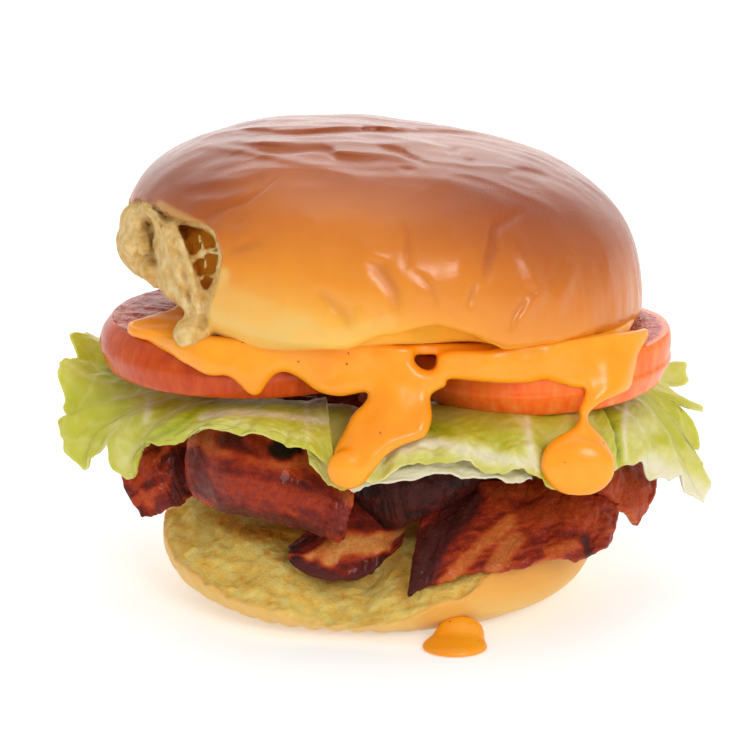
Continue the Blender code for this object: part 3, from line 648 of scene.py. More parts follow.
def make_crown(material):
    points, quads = carve(crown_field, *CROWN_SPACE)
    skin, height, azimuth = crown_skin(points)
    left = points[:, 0] < -20
    torn = ramp(torn_inside(points, seen_at(points)), -0.1, 0.35) * left
    under = ramp(CROWN_UNDERSIDE + 9 - points[:, 2], 0, 1) * ramp(-skin, 1.0, 2.0)
    crumb = np.maximum(np.maximum(torn, under), ramp(-skin, 0.8, 1.6) * left)
    crease = crown_marks(points, azimuth, height)
    pale = painted(np.zeros(len(points)), seen_at(points), PALE_CRUST) * (points[:, 1] < 0)
    x, y, _ = points.T
    bake = height + BAKED_RIGHT * ramp(x, -10, 45) * ramp(x - y, 20, 60)
    bake += BAKED_SHOULDER * ramp(-x, 20, 50) * ramp(height, 6, 18)
    # Painted shade: the crumb lying deepest in the tear, mostly in its pocket, is drawn ochre by its depth
    ochre = ramp(-skin, 3.6, 5.4) * left
    make_piece(
        "bun_crown",
        points,
        quads,
        material,
        {"crumb": crumb, "height": bake, "crease": crease, "pale": pale, "ochre": ochre},
        ["crown"],
    )


def heel_skin(points):
    """Distance outside the whole heel, before its front was torn."""
    x = points[:, 0] - HEEL_CENTRE_X
    y = points[:, 1]
    azimuth = np.arctan2(y, x) % (2 * math.pi)
    reach = np.hypot(x, y)
    radius = HEEL_RADIUS * (1 + OUT_OF_ROUND * np.cos(3 * azimuth + 0.7))
    height = points[:, 2] - HEEL_EQUATOR
    drop = HEEL_EQUATOR + HEEL_BASE_CUT
    power = np.where(height > 0, *HEEL_POWERS)
    tall = np.where(height > 0, HEEL_TOP - HEEL_EQUATOR, drop)
    skin = dome_distance(reach, np.abs(height), radius, tall, power)
    pleats = np.sin(azimuth * HEEL_PLEATS + 3 * noise(points * [1, 1, 0.3], 14.0, 7))
    torn_side = ramp(np.degrees(azimuth), 165, 190) * ramp(-np.degrees(azimuth), -290, -262)
    skin += PLEAT_DEPTH * pleats * torn_side * ramp(-height, -2, 6)
    skin -= 0.35 * noise(points, 17.0, 8) + 0.12 * noise(points, 6.0, 9)
    return soft_max(skin, -points[:, 2], 0.8), azimuth


def heel_field(points):
    skin, azimuth = heel_skin(points)
    reach = np.hypot(points[:, 0] - HEEL_CENTRE_X, points[:, 1])
    lip = read_table(TORN_LIP, np.degrees(azimuth))
    rise = np.maximum(HEEL_RADIUS - 2.0 - reach, 0) * TEAR_SLOPE
    torn = points[:, 2] - np.maximum(lip + rise, 0.8)
    near = (np.abs(torn) < 7) & (skin < 5) & (lip < 29)
    rough = np.zeros(len(points))
    if near.any():
        q = points[near]
        rim = ramp(reach[near], HEEL_RADIUS - 9, HEEL_RADIUS - 2)
        rough[near] = 2.0 * noise(q, 12.0, 51) + 0.8 * noise(q, 5.0, 52) + 0.42 * noise(q, 1.8, 53)
        rough[near] += 1.6 * np.clip(0.44 - bubbles(q, 3.4, 54), 0, 1) + 1.0 * rim * noise(q, 3.6, 55)
    torn = (torn + rough) * 0.92
    top = points[:, 2] - HEEL_TOP + 0.8 + 0.5 * noise(points, 2.4, 61)
    return soft_max(soft_max(skin, torn, 0.7), top, 0.6)


# Where the crumb of the heel has soaked up fat, in pixels, half width and share
OILY_CRUMB = [
    ([(222, 520), (248, 532), (300, 535)], 9.0, 0.95),
    ([(300, 535), (330, 540)], 6.0, 0.8),
    ([(395, 560), (405, 600)], 9.0, 0.4),
    ([(176, 524), (186, 545)], 7.0, 0.25),
    ([(268, 556), (292, 562)], 5.0, 0.3),
]


# The paler crust at the heel's lower left
PALE_HEEL = [([(160, 545), (180, 585), (220, 612), (290, 632), (350, 636)], 16.0, 0.75)]


HEEL_SPACE = ((-54.0, -52.0, -2.0), (51.0, 53.0, 23.0), 0.67)


def make_heel(material):
    points, quads = carve(heel_field, *HEEL_SPACE)
    points[:, 2] = np.maximum(points[:, 2], 0.0)
    skin, _ = heel_skin(points)
    nothing = np.zeros(len(points))
    front = points[:, 1] < 0
    cut_top = ramp(points[:, 2], HEEL_TOP - 2.4, HEEL_TOP - 1.4)
    make_piece(
        "bun_heel",
        points,
        quads,
        material,
        {
            "crumb": np.maximum(ramp(-skin, 0.5, 1.4), cut_top),
            "height": points[:, 2],
            "crease": nothing,
            "pale": painted(nothing, seen_at(points), PALE_HEEL) * front,
            "ochre": painted(nothing, seen_at(points), OILY_CRUMB) * front,
        },
        ["heel"],
    )


# Thin pieces


def on_sheet(stations, u, v):
    """The middle surface through a strip's stations."""
    a, m, b = (smooth_line([station[k] for station in stations], u) for k in range(3))
    v = v[:, None]
    return a * ((1 - v) * (1 - 2 * v)) + m * (4 * v * (1 - v)) + b * (v * (2 * v - 1))


def unit(vectors):
    return vectors / np.maximum(np.linalg.norm(vectors, axis=-1, keepdims=True), 1e-9)


def strip_size(stations):
    """Length of a strip's middle line and the mean straight distance across it."""
    upper, middle, lower = (np.array([station[k] for station in stations], float) for k in range(3))
    length = np.linalg.norm(np.diff(middle, axis=0), axis=1).sum()
    return length, np.linalg.norm(upper - lower, axis=1).mean()


def thin_solid(columns, rows, place, thick, relief):
    """A closed sheet with rounded edges: its points, quads and the (u, v) of each point."""
    u, v = np.meshgrid(np.linspace(0, 1, columns + 1), np.linspace(0, 1, rows + 1), indexing="ij")
    v = 0.6 * v + 0.4 * (1 - np.cos(math.pi * v)) / 2
    middle = place(u.ravel(), v.ravel()).reshape(columns + 1, rows + 1, 3)
    normal = unit(np.cross(np.gradient(middle, axis=0), np.gradient(middle, axis=1)))
    legs_u = np.linalg.norm(np.diff(middle, axis=0), axis=2)
    legs_v = np.linalg.norm(np.diff(middle, axis=1), axis=2)
    from_u = np.concatenate([np.zeros((1, rows + 1)), np.cumsum(legs_u, 0)])
    from_v = np.concatenate([np.zeros((columns + 1, 1)), np.cumsum(legs_v, 1)], 1)
    edge = np.minimum(
        np.minimum(from_u, from_u[-1:] - from_u), np.minimum(from_v, from_v[:, -1:] - from_v)
    )
    half = thick / 2
    rounded = rounded_edge(edge, half)
    flat = middle.reshape(-1, 3)
    rise = relief(u.ravel(), v.ravel(), flat, 1).reshape(u.shape)
    fall = relief(u.ravel(), v.ravel(), flat, -1).reshape(u.shape)
    top = middle + normal * ((half + rise) * rounded)[..., None]
    bottom = middle - normal * ((half + fall) * rounded)[..., None]
    number = np.arange(u.size).reshape(u.shape)
    under = number.copy()
    inner = (slice(1, -1), slice(1, -1))
    under[inner] = u.size + np.arange((columns - 1) * (rows - 1)).reshape(columns - 1, rows - 1)
    points = np.concatenate([top.reshape(-1, 3), bottom[inner].reshape(-1, 3)])
    across_u = np.concatenate([u.ravel(), u[inner].ravel()])
    across_v = np.concatenate([v.ravel(), v[inner].ravel()])

    def quads(n):
        ring = [n[:-1, :-1], n[1:, :-1], n[1:, 1:], n[:-1, 1:]]
        return np.stack(ring, -1).reshape(-1, 4)

    faces = np.concatenate([quads(number), quads(under)[:, ::-1]])
    return points, faces, across_u, across_v


def painted(values, spots, marks, sharp=4):
    """Pushes values towards each mark's own, near its line of pixels."""
    values = values.copy()
    for path, width, value in marks:
        near = near_path(spots, path, 2.2 * width)
        away, _ = path_distance(spots[near], path)
        share = np.exp(-((away / width) ** sharp))
        values[near] += (value - values[near]) * share
    return values


# Bacon

BACON_THICK = 2.0
# Distance across a strip along its curve, as a share of the straight distance
BACON_BULGE = 1.12

# Each strip of bacon: its upper edge, middle line and lower edge at stations along it
BACON = {
    "bacon_left": [
        ((-58.8, -13, 30.5), (-57.5, -15.5, 25.0), (-54.0, -15, 19.8)),
        ((-52.0, -13, 37.0), (-51.0, -17.0, 29.5), (-47.5, -18, 22.6)),
        ((-44.0, -9, 41.0), (-43.5, -13.0, 33.5), (-41.0, -14, 26.0)),
        ((-30.0, 5, 41.0), (-30.0, 1.0, 33.5), (-30.0, -1, 26.0)),
        ((-16.0, 18, 39.0), (-17.0, 15.0, 32.0), (-18.0, 13, 25.0)),
    ],
    "bacon_fold": [
        ((-33.0, -12, 43.0), (-37.0, -13.0, 35.0), (-36.0, -12, 27.5)),
        ((-41.0, -20, 43.5), (-43.5, -23.0, 35.0), (-41.5, -21, 27.0)),
        ((-33.0, -30, 45.0), (-33.5, -37.0, 36.0), (-33.0, -31, 26.5)),
        ((-21.0, -33, 43.0), (-22.0, -40.5, 33.5), (-21.0, -35, 24.3)),
        ((-11.5, -36, 37.5), (-12.5, -42.0, 30.0), (-13.0, -37, 22.4)),
        ((-7.2, -37, 33.5), (-8.0, -41.0, 28.3), (-10.0, -38, 22.4)),
    ],
    "bacon_curl": [
        ((-21.5, -30.0, 17.5), (-21.3, -31.0, 16.2), (-21.0, -31.5, 15.0)),
        ((-16.5, -27.0, 22.0), (-16.0, -32.5, 17.5), (-16.5, -35.0, 12.8)),
        ((-10.5, -24.0, 29.0), (-10.0, -32.0, 20.0), (-9.0, -37.5, 11.8)),
        ((-3.5, -23.0, 30.0), (-3.3, -31.0, 21.0), (-3.5, -36.5, 13.3)),
        ((1.5, -21.0, 28.0), (0.5, -28.5, 21.0), (-0.3, -33.0, 16.0)),
        ((6.0, -15.0, 24.0), (4.5, -21.0, 20.5), (3.0, -26.0, 17.0)),
    ],
    "bacon_dark": [
        ((-13.0, -17, 37.0), (-11.0, -21.0, 30.5), (-9.0, -19, 24.5)),
        ((-2.0, -30, 38.5), (-0.5, -33.5, 31.0), (1.5, -31, 22.5)),
        ((6.0, -33, 39.5), (7.0, -37.0, 33.0), (8.0, -35, 26.0)),
        ((16.0, -29, 40.5), (16.5, -33.0, 34.5), (16.5, -30, 29.5)),
        ((27.0, -12, 41.0), (28.0, -14.0, 36.0), (25.0, -12, 31.0)),
        ((29.0, 8, 40.0), (31.0, 8.0, 35.0), (29.0, 8, 30.0)),
        ((20.0, 22, 38.0), (23.0, 24.0, 33.0), (22.0, 23, 28.0)),
    ],
    "bacon_right": [
        ((10.0, -25, 29.5), (7.0, -35.0, 21.0), (4.9, -43.3, 10.2)),
        ((17.0, -24, 30.5), (13.5, -35.5, 23.0), (11.0, -44.0, 13.0)),
        ((24.0, -24, 31.0), (21.0, -35.0, 24.5), (19.0, -43.3, 16.2)),
        ((32.0, -22, 31.0), (29.0, -34.0, 25.0), (27.5, -43.3, 17.2)),
        ((39.0, -19, 31.0), (37.0, -31.0, 25.5), (36.0, -41.0, 18.2)),
        ((46.0, -13, 30.0), (46.0, -25.0, 25.0), (43.5, -38.0, 17.0)),
        ((51.0, -6, 28.0), (52.5, -17.0, 23.5), (48.7, -31.0, 18.0)),
    ],
    "bacon_right_end": [
        ((2.0, 24, 41.5), (-2.0, 14.0, 42.5), (-6.0, 4, 41.5)),
        ((15.0, 14, 42.5), (12.0, 3.0, 43.0), (9.0, -9, 42.0)),
        ((32.0, 3, 40.0), (31.0, -8.0, 42.5), (29.0, -20, 40.0)),
        ((44.0, -1, 37.0), (43.5, -12.0, 38.5), (40.0, -25, 33.0)),
        ((54.0, -1, 33.0), (53.0, -10.0, 31.5), (50.5, -20, 25.0)),
        ((62.0, -1, 27.5), (61.0, -7.0, 23.0), (57.0, -13, 17.5)),
    ],
    "bacon_back": [
        ((-42.0, 4, 40.0), (-45.0, 5.0, 30.0), (-42.0, 5, 20.5)),
        ((-40.0, 20, 42.0), (-45.0, 22.0, 31.0), (-40.0, 20, 20.0)),
        ((-30.0, 28, 42.5), (-33.0, 32.0, 32.0), (-30.0, 29, 20.0)),
        ((-20.0, 40, 43.0), (-22.0, 46.0, 32.0), (-20.0, 41, 20.0)),
        ((-6.0, 39, 42.0), (-6.0, 43.0, 31.0), (-6.0, 40, 20.0)),
        ((8.0, 45, 42.0), (9.0, 51.0, 31.0), (8.0, 45, 20.0)),
        ((24.0, 38, 41.0), (26.0, 43.0, 31.0), (24.0, 39, 20.0)),
        ((38.0, 30, 40.0), (42.0, 33.0, 30.0), (38.0, 31, 20.0)),
        ((42.0, 14, 38.0), (45.0, 15.0, 29.0), (42.0, 14, 20.0)),
        ((48.0, 4, 36.0), (51.0, 4.0, 28.0), (48.0, 4, 20.5)),
    ],
    "bacon_middle": [
        ((-34.0, 4, 36.0), (-34.0, -4.0, 30.5), (-34.0, -12, 25.0)),
        ((-14.0, 12, 37.5), (-14.0, 2.0, 32.5), (-14.0, -8, 27.5)),
        ((8.0, 16, 33.5), (8.0, 4.0, 29.5), (8.0, -10, 25.5)),
        ((30.0, 12, 31.5), (30.0, 2.0, 28.5), (30.0, -10, 25.5)),
        ((44.0, 8, 27.5), (44.0, 0.0, 25.5), (44.0, -9, 23.5)),
    ],
}

# Along each strip: where across it (0 upper edge, 1 lower) the fat runs, how wide, and its
# tone, from 0 charred lean to 1 pale fat
FAT_LINES = {
    "bacon_left": [(0.20, 0.10, 0.62), (0.62, 0.08, 0.55)],
    "bacon_fold": [(0.12, 0.16, 0.68), (0.93, 0.08, 0.50)],
    "bacon_curl": [(0.58, 0.11, 0.78)],
    # Painted shade: the fat line of the strip behind the curl is toned dark, for the shadow it lies in
    "bacon_dark": [(0.15, 0.10, 0.25)],
    "bacon_right": [(0.20, 0.12, 0.60)],
    "bacon_right_end": [(0.30, 0.10, 0.62), (0.95, 0.07, 0.66)],
    "bacon_back": [(0.32, 0.11, 0.70), (0.72, 0.07, 0.62)],
    "bacon_middle": [(0.35, 0.14, 0.70), (0.75, 0.10, 0.62)],
}
LEAN_TONE = {
    "bacon_left": 0.38,
    "bacon_fold": 0.40,
    "bacon_curl": 0.36,
    # Painted shade: the strip behind the curl has the darkest lean, for the shadow it lies in
    "bacon_dark": 0.18,
    "bacon_right": 0.46,
    "bacon_right_end": 0.52,
    "bacon_back": 0.36,
    "bacon_middle": 0.34,
}
# How much darker the first end of a strip is
CHARRED_END = {"bacon_back": 0.6}
# What the camera sees on each strip: pixels along a mark, its half width in pixels and tone
BACON_MARKS = {
    "bacon_left": [
        ([(150, 462), (135, 480), (122, 475)], 9.0, 0.56),
        ([(150, 505), (143, 495)], 6.0, 0.60),
        ([(178, 455), (176, 500)], 7.0, 0.30),
    ],
    "bacon_fold": [
        ([(196, 455), (205, 490)], 9.0, 0.34),
        ([(225, 440), (262, 448)], 10.0, 0.30),
        ([(250, 440), (268, 452)], 8.0, 0.50),
        ([(278, 450), (296, 452)], 9.0, 0.0),
        ([(298, 460), (312, 462)], 6.0, 0.66),
        ([(222, 508), (270, 520), (320, 530)], 6.0, 0.30),
        ([(230, 484), (270, 492), (320, 502)], 11.0, 0.50),
    ],
    "bacon_curl": [
        ([(350, 500), (372, 515)], 14.0, 0.36),
        ([(328, 558), (350, 545), (382, 548)], 9.0, 0.84),
        ([(296, 562), (312, 578), (345, 586), (372, 578), (384, 562)], 9.0, 0.20),
    ],
    # Painted shade: these marks darken the strip behind the curl, where it lies in shadow
    "bacon_dark": [
        ([(395, 500), (440, 480)], 14.0, 0.20),
        ([(386, 548), (400, 528), (430, 515), (450, 492)], 3.0, 0.24),
    ],
    "bacon_right": [
        ([(470, 500), (432, 545), (415, 590)], 15.0, 0.20),
        ([(512, 520), (478, 548), (446, 582)], 8.0, 0.72),
        ([(452, 588), (432, 604)], 5.0, 0.80),
        ([(494, 566), (516, 540)], 10.0, 0.74),
        ([(530, 520), (560, 505), (590, 520)], 14.0, 0.56),
        ([(548, 552), (575, 545)], 6.0, 0.66),
        ([(535, 565), (560, 560)], 4.0, 0.74),
        ([(590, 560), (585, 540)], 5.0, 0.24),
    ],
    "bacon_right_end": [
        ([(610, 480), (640, 500)], 16.0, 0.58),
        ([(655, 512), (640, 533), (622, 530)], 4.0, 0.70),
    ],
}
# Where the lean is greyish pink, in the same way
COOL_MARKS = {
    "bacon_fold": [
        ([(225, 512), (280, 525), (330, 535)], 7.0, 0.7),
        ([(342, 500), (346, 530)], 7.0, 1.0),
    ],
    "bacon_curl": [([(300, 566), (345, 586), (382, 568)], 7.0, 0.8)],
    "bacon_right": [([(494, 566), (516, 540)], 9.0, 0.3), ([(440, 540), (420, 590)], 12.0, 0.5)],
    "bacon_left": [([(178, 455), (170, 500)], 8.0, 0.35)],
}


def make_strip(name, seed, material):
    """A fried strip: rippled, wrinkled across its length, with bulging fat and ragged edges."""
    stations = BACON[name]
    length, straight = strip_size(stations)
    width = straight * BACON_BULGE

    def over(u, v, size_u, size_v, offset):
        at = np.stack([u * length / size_u, v * width / size_v, np.full(len(u), 7.3 * offset)], 1)
        return noise(at, 1.0, int(seed * 10) + offset)

    def tone_of(u, v, points):
        warp = 0.12 * over(u, v, 11, 9, 1) + 0.05 * over(u, v, 4, 3, 2)
        tone = LEAN_TONE[name] + 0.14 * over(u, v, 7, 2.2, 3) + 0.12 * over(u, v, 2.2, 1.2, 4)
        tone += 0.10 * over(u, v, 11, 0.9, 21)
        tone -= CHARRED_END.get(name, 0.1) * (1 - ramp(u * length, 1.0, 7.0))
        for centre, wide, value in FAT_LINES[name]:
            share = np.exp(-(((v + warp - centre) / wide) ** 4))
            tone += (value + 0.1 * over(u, v, 3, 2, 5) - tone) * share
        spots = seen_at(points) + 3.0 * np.stack([over(u, v, 3, 3, 6), over(u, v, 3, 3, 7)], 1)
        facing = points[:, 1] < -4
        marked = painted(tone, spots, BACON_MARKS.get(name, []))
        return np.where(facing, marked, tone)

    def place(u, v):
        ragged = 0.05 * over(u, np.round(v) * 9, 3.2, 1, 8) + 0.025 * over(u, np.round(v) * 9, 1.1, 1, 9)
        v = 0.5 + (v - 0.5) * (1 + ragged)
        torn = 0.9 / length * over(np.round(u) * 9, v, 1, 2.4, 10)
        u = np.clip(u + torn * np.cos(math.pi * u), 0, 1)
        base = on_sheet(stations, u, v)
        ripple = 0.7 * np.sin(9 * u + seed) + 0.4 * noise(base, 7.0, int(seed * 10))
        base[:, 1] += 0.6 * ripple
        base[:, 2] += 0.5 * ripple
        loose = 0.35 + 0.65 * np.abs(2 * v - 1)
        wave = 0.55 * np.sin(2 * math.pi * u * length / 9.5 + 2.2 * over(u, v, 12, 9, 11)) * loose
        wave += 0.45 * over(u, v, 4.5, 6, 12)
        outwards = np.stack([base[:, 0] * 0.4, base[:, 1], np.full(len(base), 12.0)], 1)
        return base + unit(outwards) * wave[:, None]

    def relief(u, v, points, side):
        wrinkles = 0.34 * over(u, v, 1.7, 5.0, 13 + side) + 0.22 * over(u, v, 0.9, 1.8, 16 + side)
        wrinkles += 0.16 * over(u, v, 9, 1.1, 22)
        blisters = 0.22 * np.clip(0.5 - bubbles(points, 2.6, 20), 0, 1)
        return wrinkles + blisters + 0.7 * (tone_of(u, v, points) - 0.4)

    columns = int(np.clip(length / 0.42, 60, 300))
    rows = int(np.clip(width / 0.42, 24, 56))
    points, faces, u, v = thin_solid(columns, rows, place, BACON_THICK, relief)
    tone = tone_of(u, v, points)
    facing = points[:, 1] < -4
    cool = painted(np.zeros(len(points)), seen_at(points), COOL_MARKS.get(name, []))
    cool = np.where(facing, cool, 0.0) + 0.25 * np.clip(over(u, v, 6, 4, 19), 0, 1)
    make_piece(name + "_look", points, faces, material, {"tone": tone, "cool": cool}, [name])


# Lettuce

LEAF_THICK = 0.7
# Distance across a leaf along its curve, as a share of the straight distance
LEAF_BULGE = 1.1

# Each leaf: its inner line under the tomato, middle line and free rim, with the ruffle's
# height at the rim and the number of its waves
LEAVES = {
    "lettuce_left": {
        "ruffle": (2.6, 9.0),
        "stations": [
            ((-30, 22, 49.0), (-48, 26, 52.0), (-57, 30, 49.0)),
            ((-36, 12, 49.0), (-55, 13, 52.5), (-66, 13, 54.0)),
            ((-38, 2, 49.5), (-58, 2, 49.5), (-72.0, 0, 55.0)),
            ((-38, -8, 49.5), (-60, -9, 46.5), (-73.0, -7, 44.0)),
            ((-36, -14, 49.5), (-58, -15, 45.5), (-71.5, -13, 34.5)),
            ((-34, -18, 49.5), (-52, -24, 46.0), (-60.0, -21, 32.5)),
            ((-32, -21, 49.8), (-43, -34, 49.0), (-50.0, -31, 41.0)),
            ((-29, -23, 50.0), (-33, -40, 51.5), (-38.0, -42, 48.0)),
            ((-25, -24, 50.0), (-25, -41, 51.5), (-27.0, -47, 48.0)),
            ((-19, -24, 49.5), (-19, -42, 50.5), (-18.0, -48.5, 45.5)),
            ((-13, -24, 50.4), (-12, -43, 49.6), (-11.0, -50.0, 42.0)),
        ],
    },
    "lettuce_front": {
        "ruffle": (1.5, 6.0),
        "stations": [
            ((-17, -24, 48.6), (-17.5, -40, 47.4), (-16.0, -45.5, 40.5)),
            ((-8, -24, 48.6), (-7.5, -42, 47.4), (-8.8, -48.5, 36.8)),
            ((0, -25, 46.5), (0.5, -43.5, 48.0), (0.0, -50, 40.5)),
            ((9, -19, 47.6), (10.0, -43, 49.6), (11.0, -51, 44.0)),
            ((20, -18, 47.9), (20.5, -42.5, 49.8), (20.4, -50, 42.0)),
            ((30, -17, 48.2), (31.0, -41, 49.8), (31.2, -49, 39.5)),
            ((38, -18, 46.0), (41.0, -38, 50.0), (41.1, -46, 36.5)),
            ((43, -12, 46.5), (48.0, -32, 49.0), (50.5, -36, 37.5)),
        ],
    },
    "lettuce_under": {
        "ruffle": (0.5, 4.0),
        "stations": [
            ((-12, -25, 44.5), (-10, -40, 43.5), (-8.8, -46.5, 35.8)),
            ((-3, -26, 44.0), (-3, -41, 43.5), (-2.0, -48.0, 37.5)),
            ((10, -26, 43.5), (11, -42, 43.8), (11.5, -48.5, 40.0)),
            ((22, -25, 43.5), (22, -41, 43.3), (22.0, -47.5, 38.5)),
            ((30, -23, 43.3), (31, -38, 42.3), (31.5, -45.5, 37.5)),
        ],
    },
    "lettuce_right": {
        "ruffle": (1.8, 6.0),
        "stations": [
            ((40, -20, 47.0), (46.0, -33, 47.0), (47.5, -37, 39.0)),
            ((45, -18, 47.0), (52.5, -28, 46.5), (55.5, -29, 35.5)),
            ((48, -12, 47.0), (58.5, -18, 45.0), (64.0, -19, 29.5)),
            ((49, -6, 47.5), (61, -10, 43.5), (72.5, -8, 22.5)),
            ((49, 0, 48.0), (60, -3, 45.0), (72.5, -2, 33.0)),
            ((49, 6, 48.5), (59, 4, 47.0), (71.5, 5, 41.5)),
            ((48, 12, 48.5), (57, 12, 48.5), (66.0, 15, 47.5)),
            ((44, 20, 48.5), (54, 23, 49.5), (62.0, 27, 46.0)),
        ],
    },
    "lettuce_back": {
        "ruffle": (2.4, 9.0),
        "stations": [
            ((36, 22, 48.5), (44, 34, 52.0), (50.0, 42, 48.0)),
            ((24, 26, 48.5), (29, 41, 53.0), (33.0, 54, 52.0)),
            ((10, 28, 48.5), (12, 44, 53.0), (13.0, 59, 48.0)),
            ((-6, 28, 48.5), (-7, 44, 53.5), (-8.0, 59, 53.0)),
            ((-20, 28, 48.5), (-26, 41, 53.0), (-31.0, 54, 48.5)),
            ((-28, 30, 46.0), (-40, 38, 50.0), (-49.0, 43, 45.0)),
        ],
    },
}

# Paint on the leaves as the camera sees it: pixels, half width, and greenness from 0 for
# cream ribs to 1 for deep green
LEAF_MARKS = {
    "lettuce_left": [
        # Painted shade: deep green just under the left tomato slice
        ([(112, 368), (135, 378)], 9.0, 0.95),
        ([(160, 410), (176, 425)], 16.0, 0.55),
        ([(150, 440), (175, 428), (205, 405)], 5.0, 0.85),
        ([(140, 384), (165, 390), (188, 394)], 6.0, 0.05),
        ([(150, 395), (146, 420)], 5.0, 0.10),
        ([(195, 402), (230, 404), (262, 408), (300, 412)], 5.0, 0.55),
        ([(200, 417), (235, 412), (270, 414), (325, 421)], 4.0, 0.02),
        ([(190, 430), (240, 424), (290, 436)], 6.0, 0.35),
        ([(70, 345), (66, 380), (62, 410), (66, 450)], 6.0, 0.40),
        ([(90, 455), (110, 468)], 6.0, 0.55),
        ([(88, 400), (84, 430)], 6.0, 0.50),
    ],
    "lettuce_front": [
        # Painted shade: deep green just under the right tomato slice
        ([(428, 428), (448, 434)], 6.0, 1.0),
        ([(470, 425), (500, 440), (512, 452)], 9.0, 0.60),
        ([(350, 470), (400, 447), (440, 442), (480, 455), (530, 463)], 9.0, 0.04),
        ([(540, 415), (560, 412)], 7.0, 0.75),
        ([(527, 418), (530, 440), (538, 470)], 4.0, 0.08),
        ([(352, 432), (366, 452)], 5.0, 0.12),
        ([(300, 405), (330, 420), (345, 436)], 8.0, 0.30),
    ],
    "lettuce_under": [([(350, 488), (420, 472), (500, 480)], 8.0, 0.05)],
    "lettuce_right": [
        ([(598, 410), (612, 435), (620, 455)], 12.0, 0.92),
        ([(628, 392), (624, 425), (626, 460)], 3.5, 0.06),
        ([(645, 385), (675, 382)], 6.0, 0.22),
        ([(655, 395), (675, 405)], 7.0, 0.55),
        ([(650, 440), (680, 442)], 7.0, 0.60),
        ([(650, 465), (690, 485), (702, 495)], 13.0, 0.02),
        ([(700, 415), (706, 430)], 4.0, 0.05),
    ],
}
# Greenness at each leaf's inner line and at its rim
GREENNESS = {
    "lettuce_left": (0.28, 0.52),
    "lettuce_front": (0.48, 0.40),
    "lettuce_under": (0.16, 0.02),
    "lettuce_right": (0.55, 0.30),
    "lettuce_back": (0.30, 0.55),
}
# How far the rim is torn back along each leaf: u at the middle of the notch, half width, depth
NOTCHES = {
    "lettuce_left": [(0.33, 0.012, 0.16), (0.475, 0.012, 0.14), (0.22, 0.010, 0.08)],
    "lettuce_right": [
        (0.50, 0.014, 0.22),
        (0.55, 0.012, 0.20),
        (0.622, 0.019, 0.24),
        (0.69, 0.010, 0.14),
        (0.743, 0.017, 0.22),
        (0.855, 0.010, 0.10),
    ],
    "lettuce_back": [(0.2, 0.012, 0.12), (0.46, 0.014, 0.16), (0.73, 0.012, 0.12)],
}


# From how far along a leaf its waves calm down, and over what share of it
CALM_FROM = {"lettuce_left": 0.56}
CALM_SPAN = 0.14
NEVER_CALM = 2.0


def vein_lines(seed, count):
    """Main ribs from the inner line to the rim, each with forked side veins."""
    lines = []
    rng = np.random.default_rng(seed)
    for i in range(count):
        start = (i + 0.5) / count + rng.uniform(-0.2, 0.2) / count
        end = start + rng.uniform(-0.4, 0.4) / count
        lines.append(([(start, 0.0), ((start + end) / 2, 0.5), (end, 0.93)], 1.0))
        for side in (-1, 1):
            for k in range(3):
                v0 = 0.12 + 0.26 * k + rng.uniform(0, 0.1)
                u0 = start + (end - start) * v0
                reach = side * rng.uniform(0.25, 0.48) / count
                tip = (u0 + reach, min(v0 + rng.uniform(0.18, 0.4), 0.97))
                knee = (u0 + reach * 0.45, v0 + 0.4 * (tip[1] - v0))
                lines.append(([(u0, v0), knee, tip], 0.5))
    return lines


